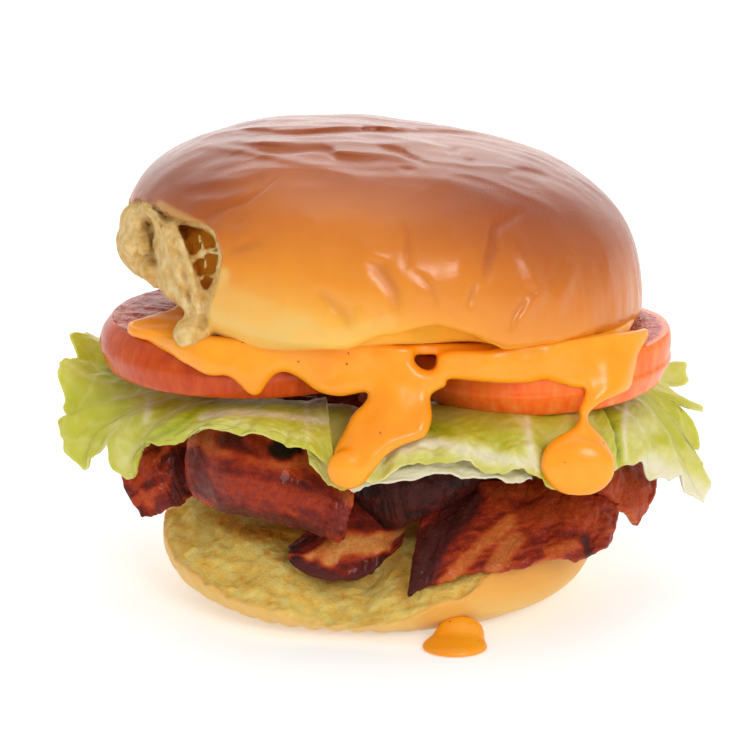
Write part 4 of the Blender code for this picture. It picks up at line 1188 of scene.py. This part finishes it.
def make_leaf(name, seed, material):
    """A leaf that lies flat under the tomato and ruffles more and more to its frilled rim."""
    stations = LEAVES[name]["stations"]
    height, waves = LEAVES[name]["ruffle"]
    calm = CALM_FROM.get(name, NEVER_CALM)
    length, straight = strip_size(stations)
    width = straight * LEAF_BULGE
    ribs = vein_lines(int(seed * 10) + 1, max(3, int(length / 15)))

    def over(u, v, size, offset):
        at = np.stack([u * length / size, v * width / size, np.full(len(u), 5.1 * offset)], 1)
        return noise(at, 1.0, int(seed * 10) + offset)

    def veins(u, v):
        bend = np.stack([u * length + 1.0 * over(u, v, 6, 1), v * width + 1.0 * over(u, v, 6, 2)], 1)
        strength = np.zeros(len(u))
        for path, size in ribs:
            scaled = [(a * length, b * width) for a, b in path]
            thin = (0.35 + 0.75 * size) * (1.15 - 0.6 * v)
            away, along = path_distance(bend, scaled)
            strength = np.maximum(strength, size * np.exp(-((away / thin) ** 2)) * (1 - 0.5 * along))
        return strength

    def place(u, v):
        cut_back = np.zeros(len(u))
        for middle, half, depth in NOTCHES.get(name, []):
            cut_back += depth * np.exp(-(((u - middle) / half) ** 2))
        frill = 0.030 * over(u, v * 0, 3.0, 3) + 0.022 * over(u, v * 0, 1.2, 4)
        v = v * (1 - cut_back + frill)
        base = on_sheet(stations, u, v)
        calmed = ramp(u, calm, calm + CALM_SPAN)
        loose = v * v * (1 - 0.75 * calmed)
        ruffle = height * loose * np.sin(2 * math.pi * waves * u + seed)
        ruffle += 0.8 * height * loose * over(u, v, 7.0, 5)
        out = unit(np.stack([base[:, 0], base[:, 1], np.zeros(len(u))], 1))
        base += out * (0.45 * ruffle)[:, None]
        base[:, 2] += 0.75 * ruffle
        rim = ramp(v, 0.45, 1.0) * (1 - 0.6 * calmed)
        fine = rim * height * 0.26 * np.sin(2 * math.pi * waves * 2.3 * u + 3.5 * over(u, v, 9.0, 6))
        fine += (0.25 + 0.5 * rim) * over(u, v, 3.4, 7) + 0.22 * over(u, v, 1.6, 8)
        up = unit(out + np.array([0, 0, 0.9]))
        return base + up * fine[:, None]

    def relief(u, v, points, side):
        pucker = 0.10 * over(u, v, 1.0, 9)
        return side * (0.34 * veins(u, v) + pucker) + 0.16 * veins(u, v)

    columns = int(np.clip(length / 0.40, 80, 380))
    rows = int(np.clip(width / 0.45, 30, 76))
    points, faces, u, v = thin_solid(columns, rows, place, LEAF_THICK, relief)
    inner, outer = GREENNESS[name]
    rib = veins(u, v)
    green = inner + (outer - inner) * v + 0.20 * over(u, v, 9.0, 10) + 0.14 * over(u, v, 3.0, 11)
    spots = seen_at(points)
    green = np.where(points[:, 1] < 6, painted(green, spots, LEAF_MARKS.get(name, []), 2), green)
    green = green * (1 - 0.75 * rib) - 0.12 * ramp(v, 0.965, 1.0)
    make_piece(name + "_look", points, faces, material, {"green": green, "rib": rib}, [name])


# Tomatoes

# Each slice: middle of its lower face, radii at the top, middle and bottom, thickness, tilt in
# degrees, and how much lighter its skin is painted, as painted light against the shade of the
# sauce and crown above it
TOMATOES = {
    "tomato_left": ((-30.0, -7.0, 54.6), (31.8, 34.4, 33.0), 10.6, 0.0, 0.0),
    "tomato_right": ((35.4, -12.5, 50.6), (29.2, 28.6, 26.0), 11.6, 4.0, 1.0),
    "tomato_back": ((12.0, 36.0, 52.6), (22.0, 23.4, 22.4), 9.4, 0.0, 0.2),
}
TOMATO_TURNS = 300
# The right slice's skin stands out below this height, where the knife left a step
SKIN_STEP = {"tomato_right": 5.4}


def make_tomato(name, seed, material):
    """A slice with a glossy skin round its rim and wet, seeded flesh on its cut faces."""
    centre, (top, middle, bottom), thick, tilt, painted_light = TOMATOES[name]
    rim_heights = np.array([0.0, 0.5, thick * 0.45, thick * 0.75, thick - 0.6, thick])
    rim_radii = np.array([bottom - 0.5, bottom, middle, (top + middle) / 2 + 0.3, top, top - 0.5])
    rise = np.linspace(0, 1, 27)
    rise = thick * (0.7 * rise + 0.3 * (1 - np.cos(math.pi * rise)) / 2)
    bulge = np.interp(rise, rim_heights, rim_radii)
    kernel = np.array([1, 2, 1]) / 4
    for _ in range(3):
        bulge[1:-1] = np.convolve(bulge, kernel, "valid")
    step = SKIN_STEP.get(name)
    if step:
        bulge = bulge + 0.55 * (1 - ramp(rise, step - 0.3, step + 0.35))
    inwards = np.array([0.15, 0.5, 1.0, 1.7, 2.6, 3.8, 5.2, 7.0, 9.0, 11.5, 14.5, 18.0, 22.0])
    inwards = inwards[inwards < bottom - 1.5]
    radius = np.concatenate([[0.0], (bottom - 0.7 - inwards)[::-1], bulge, top - 0.7 - inwards, [0.0]])
    heights = np.concatenate([[0.0], 0 * inwards, rise, 0 * inwards + thick, [thick]])
    is_cut = np.concatenate([[1.0], 0 * inwards + 1, 0 * rise, 0 * inwards + 1, [1.0]])
    angle = np.linspace(0, 2 * math.pi, TOMATO_TURNS, endpoint=False)
    a, r = np.meshgrid(angle, radius[1:-1], indexing="ij")
    _, h = np.meshgrid(angle, heights[1:-1], indexing="ij")
    _, flesh = np.meshgrid(angle, is_cut[1:-1], indexing="ij")
    ring = np.stack([r * np.cos(a), r * np.sin(a), h], -1).reshape(-1, 3)
    out = unit(ring * [1, 1, 0])
    flesh = flesh.ravel()
    rim_wave = 0.35 * noise(out * 34, 13.0, seed) + 0.10 * noise(ring, 5.0, seed + 1)
    ring += out * (rim_wave * np.clip(r.ravel() / middle, 0, 1))[:, None]
    wet = 0.30 * noise(ring, 2.6, seed + 2) + 0.18 * noise(ring, 1.2, seed + 3)
    lobes = np.cos(a.ravel() * 5 + 1.3 * np.sin(a.ravel() + seed))
    lobes *= np.exp(-(((r.ravel() / middle) - 0.62) / 0.16) ** 2)
    upper = np.where(ring[:, 2] > thick / 2, 1.0, -1.0)
    inner = ramp(middle - r.ravel(), 1.0, 3.0)
    ring[:, 2] += upper * flesh * inner * (wet - 0.5 * np.clip(lobes, 0, 1))
    poles = np.array([[0, 0, 0], [0, 0, thick]], float)
    local = np.concatenate([ring, poles])
    cos_t, sin_t = math.cos(math.radians(tilt)), math.sin(math.radians(tilt))
    points = local.copy()
    points[:, 0] = local[:, 0] * cos_t - local[:, 2] * sin_t
    points[:, 2] = local[:, 0] * sin_t + local[:, 2] * cos_t
    points += np.array(centre)
    across = len(radius) - 2
    number = np.arange(TOMATO_TURNS * across).reshape(TOMATO_TURNS, across)
    after = np.roll(number, -1, axis=0)
    quads = np.stack([number[:, :-1], after[:, :-1], after[:, 1:], number[:, 1:]], -1).reshape(-1, 4)
    low_pole, high_pole = len(ring), len(ring) + 1
    caps = [(after[i, 0], number[i, 0], low_pole) for i in range(TOMATO_TURNS)]
    caps += [(number[i, -1], after[i, -1], high_pole) for i in range(TOMATO_TURNS)]
    jelly = np.concatenate([np.clip(lobes, 0, 1) * flesh, [0, 0]])
    cut = np.concatenate([flesh * ramp(middle - r.ravel(), 0.7, 1.6), [1, 1]])
    attributes = {"cut": cut, "jelly": jelly, "painted_light": np.full(len(points), painted_light)}
    make_piece(name + "_look", points, quads, material, attributes, [name], caps)


# Sauce

SAUCE_OUTLINE = [
    (125, 336), (136, 327), (150, 321), (175, 316), (205, 330), (240, 334), (300, 336), (400, 326),
    (450, 326), (516, 340), (580, 330), (636, 316), (650, 330), (648, 340), (640, 352), (636, 366),
    (631, 390), (618, 395), (600, 403), (589, 412), (587, 421), (597, 431), (607, 443), (614, 456),
    (616, 468), (607, 482), (596, 493), (585, 496), (560, 491), (548, 482), (541, 470), (541, 457),
    (548, 443), (560, 435), (574, 428), (580, 419), (578, 410), (583, 400), (586, 388), (575, 388),
    (560, 384), (545, 379), (535, 382), (515, 384), (480, 382), (446, 378), (447, 386), (438, 390),
    (430, 395), (431, 405), (433, 418), (427, 437), (412, 442), (400, 446), (385, 456), (377, 467),
    (368, 477), (355, 481), (341, 477), (334, 467), (333, 450), (345, 430), (352, 414), (366, 402),
    (369, 391), (350, 395), (340, 397), (318, 393), (300, 378), (285, 371), (275, 374), (268, 382),
    (261, 394), (253, 396), (246, 392), (240, 385), (228, 375), (215, 376), (205, 375), (190, 366),
    (180, 361), (168, 352), (150, 347), (136, 340),
]
SAUCE_HOLE = [
    (414, 352), (421, 344), (432, 340), (449, 341), (452, 348), (437, 353), (435, 369), (424, 370),
    (414, 362),
]
# The middle of the sauce's front, between its neighbours and the air
SAUCE_BED = [
    (-58, -20, 65.0), (-55.5, -22, 62.0), (-50, -31, 62.0), (-47, -36.5, 62.0), (-47, -36.5, 57.0),
    (-40, -41, 66.0), (-40, -42, 57.0), (-30, -43, 65.0), (-30, -43.5, 57.0), (-20, -42.5, 65.0),
    (-20, -43, 57.0), (-12, -42, 65.0), (-12, -43, 57.0), (-3, -43.5, 63.0), (-3, -45, 56.0),
    (6, -44, 64.0), (6, -46, 56.0), (13, -44, 65.0), (14, -45, 58.0), (24, -43.5, 65.0),
    (24, -44, 58.0), (35, -42.5, 65.0), (35, -43, 58.0), (44, -39, 63.0), (45, -40.5, 56.5),
    (52, -35, 64.0), (53, -36, 57.0), (58, -28, 63.0), (59, -27, 58.0), (61, -20, 63.0),
    (62, -18, 58.0), (3.5, -46.0, 58.0), (2.2, -48.0, 53.5), (-1.0, -50.5, 49.4), (-4.6, -52.0, 45.8),
    (-6.6, -52.3, 43.0), (-8.0, -51.5, 40.5), (8.0, -49.0, 52.5), (50.0, -40.5, 56.0),
    (46.6, -44.4, 52.2), (43.8, -46.4, 48.8), (42.2, -48.2, 45.6), (41.6, -48.8, 42.6),
    (41.8, -47.8, 39.0), (49.0, -45.0, 45.0), (35.0, -49.5, 44.0),
]
# The layer under the crown, seen from above in mm, and its heights
LAYER_PLAN = [
    (-58, -26), (-53, -17), (-47, -10), (-45, 0), (-44, 14), (-38, 28), (-26, 40), (-10, 46), (8, 47),
    (26, 43), (40, 33), (48, 20), (52, 6), (54, -8), (55, -18), (54, -27), (49, -34), (40, -39),
    (20, -43), (0, -43), (-20, -43), (-34, -41), (-44, -36), (-52, -31),
]
LAYER_MIDDLE = 66.4
LAYER_HALF = 1.2
# How thick the front of the sauce is, and how far in from its edge it is rounded
SKIRT_THICK = 2.1
SKIRT_ROUNDING = 2.6
# How high the front of the sauce reaches, along X
SKIRT_TOP = [
    (-60, 66.6), (-47, 67.0), (-38, 69.0), (-10, 69.8), (2, 68.0), (10, 66.8), (22, 66.8), (32, 68.4),
    (50, 68.2), (58, 67.0),
]
# Lumps of sauce: middle, then half sizes
SAUCE_LUMPS = [
    ((-35.6, -42.0, 54.6), (3.2, 1.8, 1.5)),
    ((-18.8, -43.2, 53.8), (3.0, 1.8, 1.6)),
    ((-8.0, -52.6, 42.6), (4.6, 2.4, 4.4)),
    ((41.8, -49.4, 42.0), (7.6, 3.0, 6.4)),
]


def smooth_bed():
    """Weights of a thin-plate surface y(x, z) through the sauce's bed."""
    bed = np.array(SAUCE_BED, float)
    spots = bed[:, [0, 2]]
    away = np.linalg.norm(spots[:, None] - spots[None], axis=2)
    kernel = np.where(away > 0, away**2 * np.log(np.maximum(away, 1e-9)), 0) + 8.0 * np.eye(len(bed))
    flat = np.column_stack([np.ones(len(bed)), spots])
    system = np.block([[kernel, flat], [flat.T, np.zeros((3, 3))]])
    return spots, np.linalg.solve(system, np.concatenate([bed[:, 1], np.zeros(3)]))


BED_SPOTS, BED_WEIGHTS = smooth_bed()
SAUCE_REGION = Region(SAUCE_OUTLINE, 2)
HOLE_REGION = Region(SAUCE_HOLE)
LAYER_REGION = Region(np.array(LAYER_PLAN) * PX_PER_MM, 2)


def bed_depth(x, z):
    y = BED_WEIGHTS[-3] + BED_WEIGHTS[-2] * x + BED_WEIGHTS[-1] * z
    for (bx, bz), weight in zip(BED_SPOTS, BED_WEIGHTS):
        away = np.maximum((x - bx) ** 2 + (z - bz) ** 2, 1e-9)
        y = y + weight * 0.5 * away * np.log(away)
    return y


def sauce_field(points):
    _, y, z = points.T
    front = np.full(len(points), 9.0)
    near = (y < -10) & (z < 70)
    q = points[near]
    if len(q):
        spots = seen_at(q)
        edge = np.minimum(SAUCE_REGION(spots), -HOLE_REGION(spots))
        out = bed_depth(q[:, 0], q[:, 2]) - q[:, 1]
        lumps = 0.5 * noise(q, 8.0, 71) + 0.25 * noise(q, 3.5, 72)
        thick = SKIRT_THICK * rounded_edge(edge, SKIRT_ROUNDING) + lumps * ramp(edge, 0, 3)
        skirt = soft_max(out - thick, -out - 1.4, 0.8)
        skirt = soft_max(skirt, -edge, 0.9)
        front[near] = soft_max(skirt, q[:, 2] - read_table(SKIRT_TOP, q[:, 0]), 1.0)
    reach = -LAYER_REGION(points[:, :2] * PX_PER_MM) - 1.2 * noise(points * [1, 1, 0.1], 7.0, 73)
    layer = soft_max(reach, np.abs(z - LAYER_MIDDLE) - LAYER_HALF - 0.3 * noise(points, 6.0, 74), 1.2)
    field = soft_min(front, layer, 1.2)
    for middle, half in SAUCE_LUMPS:
        field = soft_min(field, ball_distance(points, middle, half), 1.2)
    return field


SAUCE_SPACE = ((-61.0, -58.0, 36.0), (66.0, 52.0, 70.0), 0.67)


def make_sauce(material):
    points, quads = carve(sauce_field, *SAUCE_SPACE)
    make_piece("sauce_look", points, quads, material, {}, ["sauce"])


PUDDLE_SPACE = ((6.0, -55.0, -1.5), (25.0, -38.0, 12.0), 0.35)
# The balls that the puddle is blended from: middle, then half sizes
PUDDLE_BALLS = [
    ((15.2, -47.0, 0.0), (7.2, 6.6, 3.0)),
    ((16.4, -43.6, 2.4), (5.2, 3.0, 3.6)),
]


def puddle_field(points):
    field = np.full(len(points), 30.0)
    for middle, half in PUDDLE_BALLS:
        field = soft_min(field, ball_distance(points, middle, half), 2.0)
    return soft_max(field, -points[:, 2], 0.5)


def make_puddle(material):
    points, quads = carve(puddle_field, *PUDDLE_SPACE)
    points[:, 2] = np.maximum(points[:, 2], 0.0)
    make_piece("sauce_puddle_look", points, quads, material, {}, ["sauce_puddle"])


# Materials


def srgb(red, green, blue):
    """A linear colour from the 0 to 255 values that a picture shows."""
    shares = [value / 255 for value in (red, green, blue)]
    linear = [((share + 0.055) / 1.055) ** 2.4 if share > 10 / 255 else share / 12.92 for share in shares]
    return (*linear, 1.0)


class Nodes:
    """Short ways to lay out the shader of a material or of the world."""

    def __init__(self, owner):
        owner.use_nodes = True
        self.owner = owner
        self.tree = owner.node_tree
        self.shader = self.tree.nodes.get("Principled BSDF")

    def put(self, value, slot):
        """Links an output to a slot, or sets the slot to a plain value."""
        if isinstance(value, bpy.types.NodeSocket):
            self.tree.links.new(value, slot)
        else:
            slot.default_value = value

    def set(self, **values):
        """Fills slots of the main shader, by their names."""
        for key, value in values.items():
            self.put(value, self.shader.inputs[key.replace("_", " ")])

    def add(self, kind, inputs=(), **settings):
        """A node with its settings, and its slots filled by name or number."""
        node = self.tree.nodes.new(kind)
        for key, value in settings.items():
            setattr(node, key, value)
        for key, value in dict(inputs).items():
            self.put(value, node.inputs[key])
        return node

    def attribute(self, name):
        return self.add("ShaderNodeAttribute", attribute_name=name).outputs["Fac"]

    def place(self, scale=(1, 1, 1)):
        """Object coordinates in mm, stretched by scale."""
        coordinates = self.add("ShaderNodeTexCoord").outputs["Object"]
        inputs = {"Scale": [s / MM for s in scale], "Vector": coordinates}
        return self.add("ShaderNodeMapping", inputs).outputs["Vector"]

    def noise(self, vector, size, detail=3.0, roughness=0.55):
        inputs = {"Scale": 1.0 / size, "Detail": detail, "Roughness": roughness, "Vector": vector}
        return self.add("ShaderNodeTexNoise", inputs).outputs["Fac"]

    def math(self, operation, *values):
        return self.add("ShaderNodeMath", enumerate(values), operation=operation).outputs[0]

    def ramp(self, value, stops):
        """Colours along a value, from rows of place, red, green and blue."""
        node = self.add("ShaderNodeValToRGB", {"Fac": value})
        elements = node.color_ramp.elements
        while len(elements) < len(stops):
            elements.new(0.5)
        for element, (place, *rgb) in zip(elements, stops):
            element.position = place
            element.color = srgb(*rgb)
        return node.outputs["Color"]

    def range(self, value, low, high, to_low=0.0, to_high=1.0):
        inputs = {"Value": value, "From Min": low, "From Max": high, "To Min": to_low, "To Max": to_high}
        return self.add("ShaderNodeMapRange", inputs).outputs["Result"]

    def mix(self, factor, a, b, blend="MIX"):
        inputs = {"Factor": factor, "A": a, "B": b}
        return self.add("ShaderNodeMix", inputs, data_type="RGBA", blend_type=blend).outputs["Result"]

    def bump(self, height, strength, distance_mm):
        inputs = {"Strength": strength, "Distance": distance_mm * MM, "Height": height}
        return self.add("ShaderNodeBump", inputs).outputs["Normal"]


# Colours of crust by height, from pale below to brown above, and of torn crumb; the heel's crumb
# is painted lighter than the crown's, as painted light against the shade of the bacon above it
CROWN_BAKE = [
    (0.00, 240, 192, 88),
    (0.16, 238, 170, 56),
    (0.38, 228, 142, 38),
    (0.62, 206, 116, 30),
    (0.82, 172, 86, 24),
    (1.00, 146, 66, 22),
]
HEEL_BAKE = [(0.00, 214, 176, 104), (0.30, 232, 188, 98), (0.62, 230, 166, 70), (1.00, 220, 148, 56)]
CROWN_CRUMB = [(0.25, 202, 146, 70), (0.42, 226, 184, 106), (0.58, 240, 206, 142), (0.80, 248, 226, 178)]
HEEL_CRUMB_PAINTED_LIGHT = [(0.25, 238, 164, 58), (0.42, 255, 206, 92), (0.58, 255, 222, 120), (0.80, 255, 236, 150)]
# Painted shade: the crust is drawn browner down in its creases
CREASE_SHADE_BROWN = srgb(158, 68, 18)
PALE_GOLD = srgb(228, 186, 98)
PORE_BROWN = srgb(120, 52, 20)
# Soaked fat on the heel, and painted shade deep in the crown's pocket
OIL_STAIN_AND_POCKET_SHADE_OCHRE = srgb(226, 146, 22)
# Heights between which the crust browns, and how dull the glaze is
CROWN_BROWNING = (-8.0, 36.0)
HEEL_BROWNING = (0.0, 18.0)
CROWN_DULLNESS = 0.17
HEEL_DULLNESS = 0.42
# How far the clouds in the glaze lift the browning on average
CLOUD_LIFT = 6.5


def bun_material(name, browning, bake, crumb_shades, dullness):
    """Glazed crust that browns with height, and pale crumb where it is torn."""
    n = Nodes(bpy.data.materials.new(name))
    place = n.place()
    height, crumb, crease = (n.attribute(key) for key in ("height", "crumb", "crease"))
    lifted = n.math("MULTIPLY_ADD", n.noise(place, 26.0, 4.0), 11.0, height)
    lifted = n.math("MULTIPLY_ADD", n.noise(place, 1.6, 4.0), 1.4, lifted)
    low, high = browning
    crust = n.ramp(n.range(lifted, low + CLOUD_LIFT, high + CLOUD_LIFT), bake)
    # Painted shade: browner by the depth of each crease
    crust = n.mix(n.range(crease, 0.1, 1.1, 0.0, 0.55), crust, CREASE_SHADE_BROWN)
    crust = n.mix(n.attribute("pale"), crust, PALE_GOLD)
    pores = n.range(n.noise(place, 0.45, 2.0), 0.28, 0.40)
    crust = n.mix(n.math("MULTIPLY_ADD", pores, -0.04, 0.04), crust, PORE_BROWN, "MULTIPLY")
    # Ochre is soaked fat on the heel, and painted shade deep in the crown's pocket
    torn = n.mix(n.attribute("ochre"), n.ramp(n.noise(place, 3.0, 5.0), crumb_shades), OIL_STAIN_AND_POCKET_SHADE_OCHRE)
    gloss = n.math("MULTIPLY_ADD", n.noise(place, 0.5, 3.0), 0.10, dullness)
    gloss = n.math("MULTIPLY_ADD", n.range(crease, 0.2, 0.9), 0.3, gloss)
    leathery = n.range(height, 16.0, 28.0, 0.035, 0.08)
    rough = n.math("MULTIPLY_ADD", crumb, 0.45, leathery)
    grain = n.math("MULTIPLY", n.noise(place, 0.8, 5.0, 0.7), rough)
    n.set(
        Base_Color=n.mix(crumb, crust, torn),
        Roughness=n.math("MAXIMUM", gloss, n.math("MULTIPLY", crumb, 0.85)),
        Normal=n.bump(grain, 1.0, 1.2),
        Subsurface_Weight=0.15,
        Subsurface_Radius=(0.8, 0.45, 0.2),
        Subsurface_Scale=0.0015,
        Specular_IOR_Level=0.40,
    )
    return n.owner


# From charred lean to pale fat
BACON_SHADES = [
    (0.00, 20, 5, 2),
    (0.14, 46, 9, 4),
    (0.30, 90, 18, 6),
    (0.44, 142, 34, 8),
    (0.58, 184, 64, 18),
    (0.72, 206, 104, 40),
    (0.86, 220, 146, 72),
    (1.00, 228, 186, 120),
]
COOL_LEAN = srgb(116, 50, 50)


def bacon_material():
    """Fried lean and fat, from the tone worked out for each point."""
    n = Nodes(bpy.data.materials.new("bacon"))
    place = n.place()
    mottle = n.math("SUBTRACT", n.noise(place, 1.1, 5.0, 0.65), 0.5)
    colour = n.ramp(n.math("MULTIPLY_ADD", mottle, 0.34, n.attribute("tone")), BACON_SHADES)
    cooled = n.mix(0.5, colour, COOL_LEAN)
    n.set(
        Base_Color=n.mix(n.math("MULTIPLY", n.attribute("cool"), 0.8), colour, cooled),
        Roughness=n.range(n.noise(place, 2.2, 3.0), 0.40, 0.60, 0.34, 0.66),
        Normal=n.bump(n.noise(place, 0.6, 4.0, 0.65), 0.9, 0.7),
        Subsurface_Weight=0.15,
        Subsurface_Radius=(1.0, 0.3, 0.15),
        Subsurface_Scale=0.0015,
        Specular_IOR_Level=0.20,
        Coat_Weight=0.14,
        Coat_Roughness=0.12,
    )
    return n.owner


# From cream ribs to deep green
LEAF_SHADES = [
    (0.00, 222, 214, 184),
    (0.20, 208, 202, 124),
    (0.45, 188, 184, 62),
    (0.70, 172, 174, 32),
    (1.00, 122, 126, 10),
]


def leaf_material():
    """Thin, soft leaf, from the greenness worked out for each point."""
    n = Nodes(bpy.data.materials.new("lettuce"))
    place = n.place()
    mottle = n.math("SUBTRACT", n.noise(place, 1.6, 4.0), 0.5)
    n.set(
        Base_Color=n.ramp(n.math("MULTIPLY_ADD", mottle, 0.22, n.attribute("green")), LEAF_SHADES),
        Normal=n.bump(n.noise(place, 0.7, 3.0), 0.35, 0.4),
        Roughness=0.38,
        Subsurface_Weight=0.45,
        Subsurface_Radius=(0.9, 1.0, 0.35),
        Subsurface_Scale=0.003,
        Specular_IOR_Level=0.45,
    )
    return n.owner


TOMATO_SKIN = [(0.3, 184, 60, 8), (0.55, 198, 76, 12), (0.75, 208, 96, 30)]
# Painted light: a lighter copy of the skin, for slices lying in the shade of the sauce and crown
PAINTED_LIGHT_SKIN = [(0.3, 250, 102, 30), (0.55, 255, 122, 42), (0.75, 255, 150, 74)]
TOMATO_FLESH = [(0.3, 150, 36, 20), (0.5, 192, 72, 48), (0.7, 222, 132, 106)]
SEED_JELLY = srgb(206, 110, 50)


def tomato_material():
    """Streaked skin, and wet flesh with seed jelly where a slice is cut."""
    n = Nodes(bpy.data.materials.new("tomato"))
    place = n.place()
    cut = n.attribute("cut")
    streak = n.noise(n.place((1, 1, 0.25)), 2.0, 4.0)
    # Painted light: the skin is mixed towards its lighter copy
    skin = n.mix(n.attribute("painted_light"), n.ramp(streak, TOMATO_SKIN), n.ramp(streak, PAINTED_LIGHT_SKIN))
    flesh = n.mix(n.attribute("jelly"), n.ramp(n.noise(place, 2.4, 5.0, 0.6), TOMATO_FLESH), SEED_JELLY)
    relief = n.math("MULTIPLY", n.noise(place, 1.2, 4.0), n.math("MULTIPLY_ADD", cut, 0.9, 0.06))
    n.set(
        Base_Color=n.mix(cut, skin, flesh),
        Normal=n.bump(relief, 0.9, 0.8),
        Roughness=0.24,
        Subsurface_Weight=0.35,
        Subsurface_Radius=(1.2, 0.35, 0.15),
        Subsurface_Scale=0.003,
        Specular_IOR_Level=0.26,
        Coat_Weight=0.06,
        Coat_Roughness=0.08,
    )
    return n.owner


SAUCE_SHADES = [(0.3, 249, 150, 12), (0.7, 252, 165, 24)]
SPECK_RED = srgb(190, 70, 20)


def sauce_material():
    """Smooth orange sauce with a few red specks."""
    n = Nodes(bpy.data.materials.new("sauce"))
    place = n.place()
    speck = n.range(n.noise(place, 1.5, 1.0), 0.775, 0.80)
    n.set(
        Base_Color=n.mix(speck, n.ramp(n.noise(place, 9.0, 3.0), SAUCE_SHADES), SPECK_RED),
        Roughness=0.30,
        Subsurface_Weight=0.25,
        Subsurface_Radius=(1.0, 0.45, 0.12),
        Subsurface_Scale=0.002,
        Specular_IOR_Level=0.40,
        Coat_Weight=0.12,
        Coat_Roughness=0.10,
    )
    return n.owner


# Camera, light and floor

SENSOR_WIDTH = 36.0
NEAREST_SEEN = 0.01

# Each light: its place, its width and height in metres, and its watts
LIGHTS = {
    "overhead": ((-0.05, 0.12, 0.9), (0.7, 0.6), 1.1),
    "front": ((0.35, -0.85, 0.50), (0.42, 0.34), 3.4),
}
LIGHTS_AIM = (0.0, 0.0, 0.05)

# Strength of the light all round, in front and above, and how much more it depends on height
# than on depth
SKY_GLOW = (0.39, 0.82)
SKY_SPAN = (-1.5, 3.0)
SKY_STEEP = 3.0
# What the wall behind adds, how its top edge leans back and how soft that edge is, where its
# sides fade, and what is left of it beyond them
WALL_GLOW = 1.15
WALL_STEEP = 1.07
WALL_EDGE = (-0.03, 0.05)
WALL_SIDES = (0.24, 0.50)
WALL_BEYOND = 0.12

# The floor in metres: half its side, how far it lies below the food, and its own light
FLOOR_REACH = 3.0
FLOOR_DROP = 0.0002
FLOOR_GLOW = 0.36


def link(thing):
    bpy.context.scene.collection.objects.link(thing)


def add_camera():
    data = bpy.data.cameras.new("photo_camera")
    data.sensor_width = SENSOR_WIDTH
    data.lens = SENSOR_WIDTH * VIEW_DISTANCE * PX_PER_MM / PHOTO_SIZE
    data.clip_start = NEAREST_SEEN
    camera = bpy.data.objects.new("photo_camera", data)
    toward = Vector((0.0, -math.cos(VIEW_ELEVATION), math.sin(VIEW_ELEVATION)))
    camera.location = Vector(VIEW_TARGET * MM) + toward * VIEW_DISTANCE * MM
    camera.rotation_euler = toward.to_track_quat("Z", "Y").to_euler()
    link(camera)
    bpy.context.scene.camera = camera


def add_light(name, place, size, power):
    data = bpy.data.lights.new(name, "AREA")
    data.shape = "ELLIPSE"
    data.size, data.size_y = size
    data.energy = power
    light = bpy.data.objects.new(name, data)
    light.location = place
    light.rotation_euler = (Vector(place) - Vector(LIGHTS_AIM)).to_track_quat("Z", "Y").to_euler()
    link(light)


def add_floor():
    mesh = bpy.data.meshes.new("floor")
    corners = [(x * FLOOR_REACH, y * FLOOR_REACH, 0) for x, y in ((-1, -1), (1, -1), (1, 1), (-1, 1))]
    mesh.from_pydata(corners, [], [(0, 1, 2, 3)])
    n = Nodes(bpy.data.materials.new("floor"))
    n.set(Base_Color=(0.85, 0.85, 0.85, 1.0), Roughness=0.9, Specular_IOR_Level=0.1)
    n.set(Emission_Color=(1.0, 1.0, 1.0, 1.0), Emission_Strength=FLOOR_GLOW)
    mesh.materials.append(n.owner)
    floor = bpy.data.objects.new("floor", mesh)
    floor.location.z = -FLOOR_DROP
    link(floor)


def add_studio():
    """Dim light all round, brighter from above, and a bright wall behind with a level top edge."""
    world = bpy.data.worlds.new("studio")
    n = Nodes(world)
    split = n.add("ShaderNodeSeparateXYZ", {0: n.add("ShaderNodeTexCoord").outputs["Generated"]})
    x, y, z = split.outputs
    wall = n.range(n.math("MULTIPLY_ADD", z, -WALL_STEEP, y), *WALL_EDGE, 0.0, WALL_GLOW)
    sides = n.range(n.math("ABSOLUTE", x), *WALL_SIDES, 1.0, WALL_BEYOND)
    sky = n.range(n.math("MULTIPLY_ADD", z, SKY_STEEP, y), *SKY_SPAN, *SKY_GLOW)
    background = n.tree.nodes["Background"]
    n.put(n.math("MULTIPLY_ADD", wall, sides, sky), background.inputs["Strength"])
    n.put((1.0, 1.0, 1.0, 1.0), background.inputs["Color"])
    bpy.context.scene.world = world
    for name, (place, size, power) in LIGHTS.items():
        add_light(name, place, size, power)
    bpy.context.scene.view_settings.view_transform = "Standard"


def main():
    add_camera()
    add_floor()
    add_studio()
    make_crown(bun_material("crown_bread", CROWN_BROWNING, CROWN_BAKE, CROWN_CRUMB, CROWN_DULLNESS))
    make_heel(bun_material("heel_bread", HEEL_BROWNING, HEEL_BAKE, HEEL_CRUMB_PAINTED_LIGHT, HEEL_DULLNESS))
    sauce_look = sauce_material()
    make_sauce(sauce_look)
    make_puddle(sauce_look)
    tomato_look = tomato_material()
    for i, name in enumerate(TOMATOES):
        make_tomato(name, 80 + 5 * i, tomato_look)
    bacon_look = bacon_material()
    for i, name in enumerate(BACON):
        make_strip(name, 1.7 * i, bacon_look)
    leaf_look = leaf_material()
    for i, name in enumerate(LEAVES):
        make_leaf(name, 0.9 * i, leaf_look)


main()
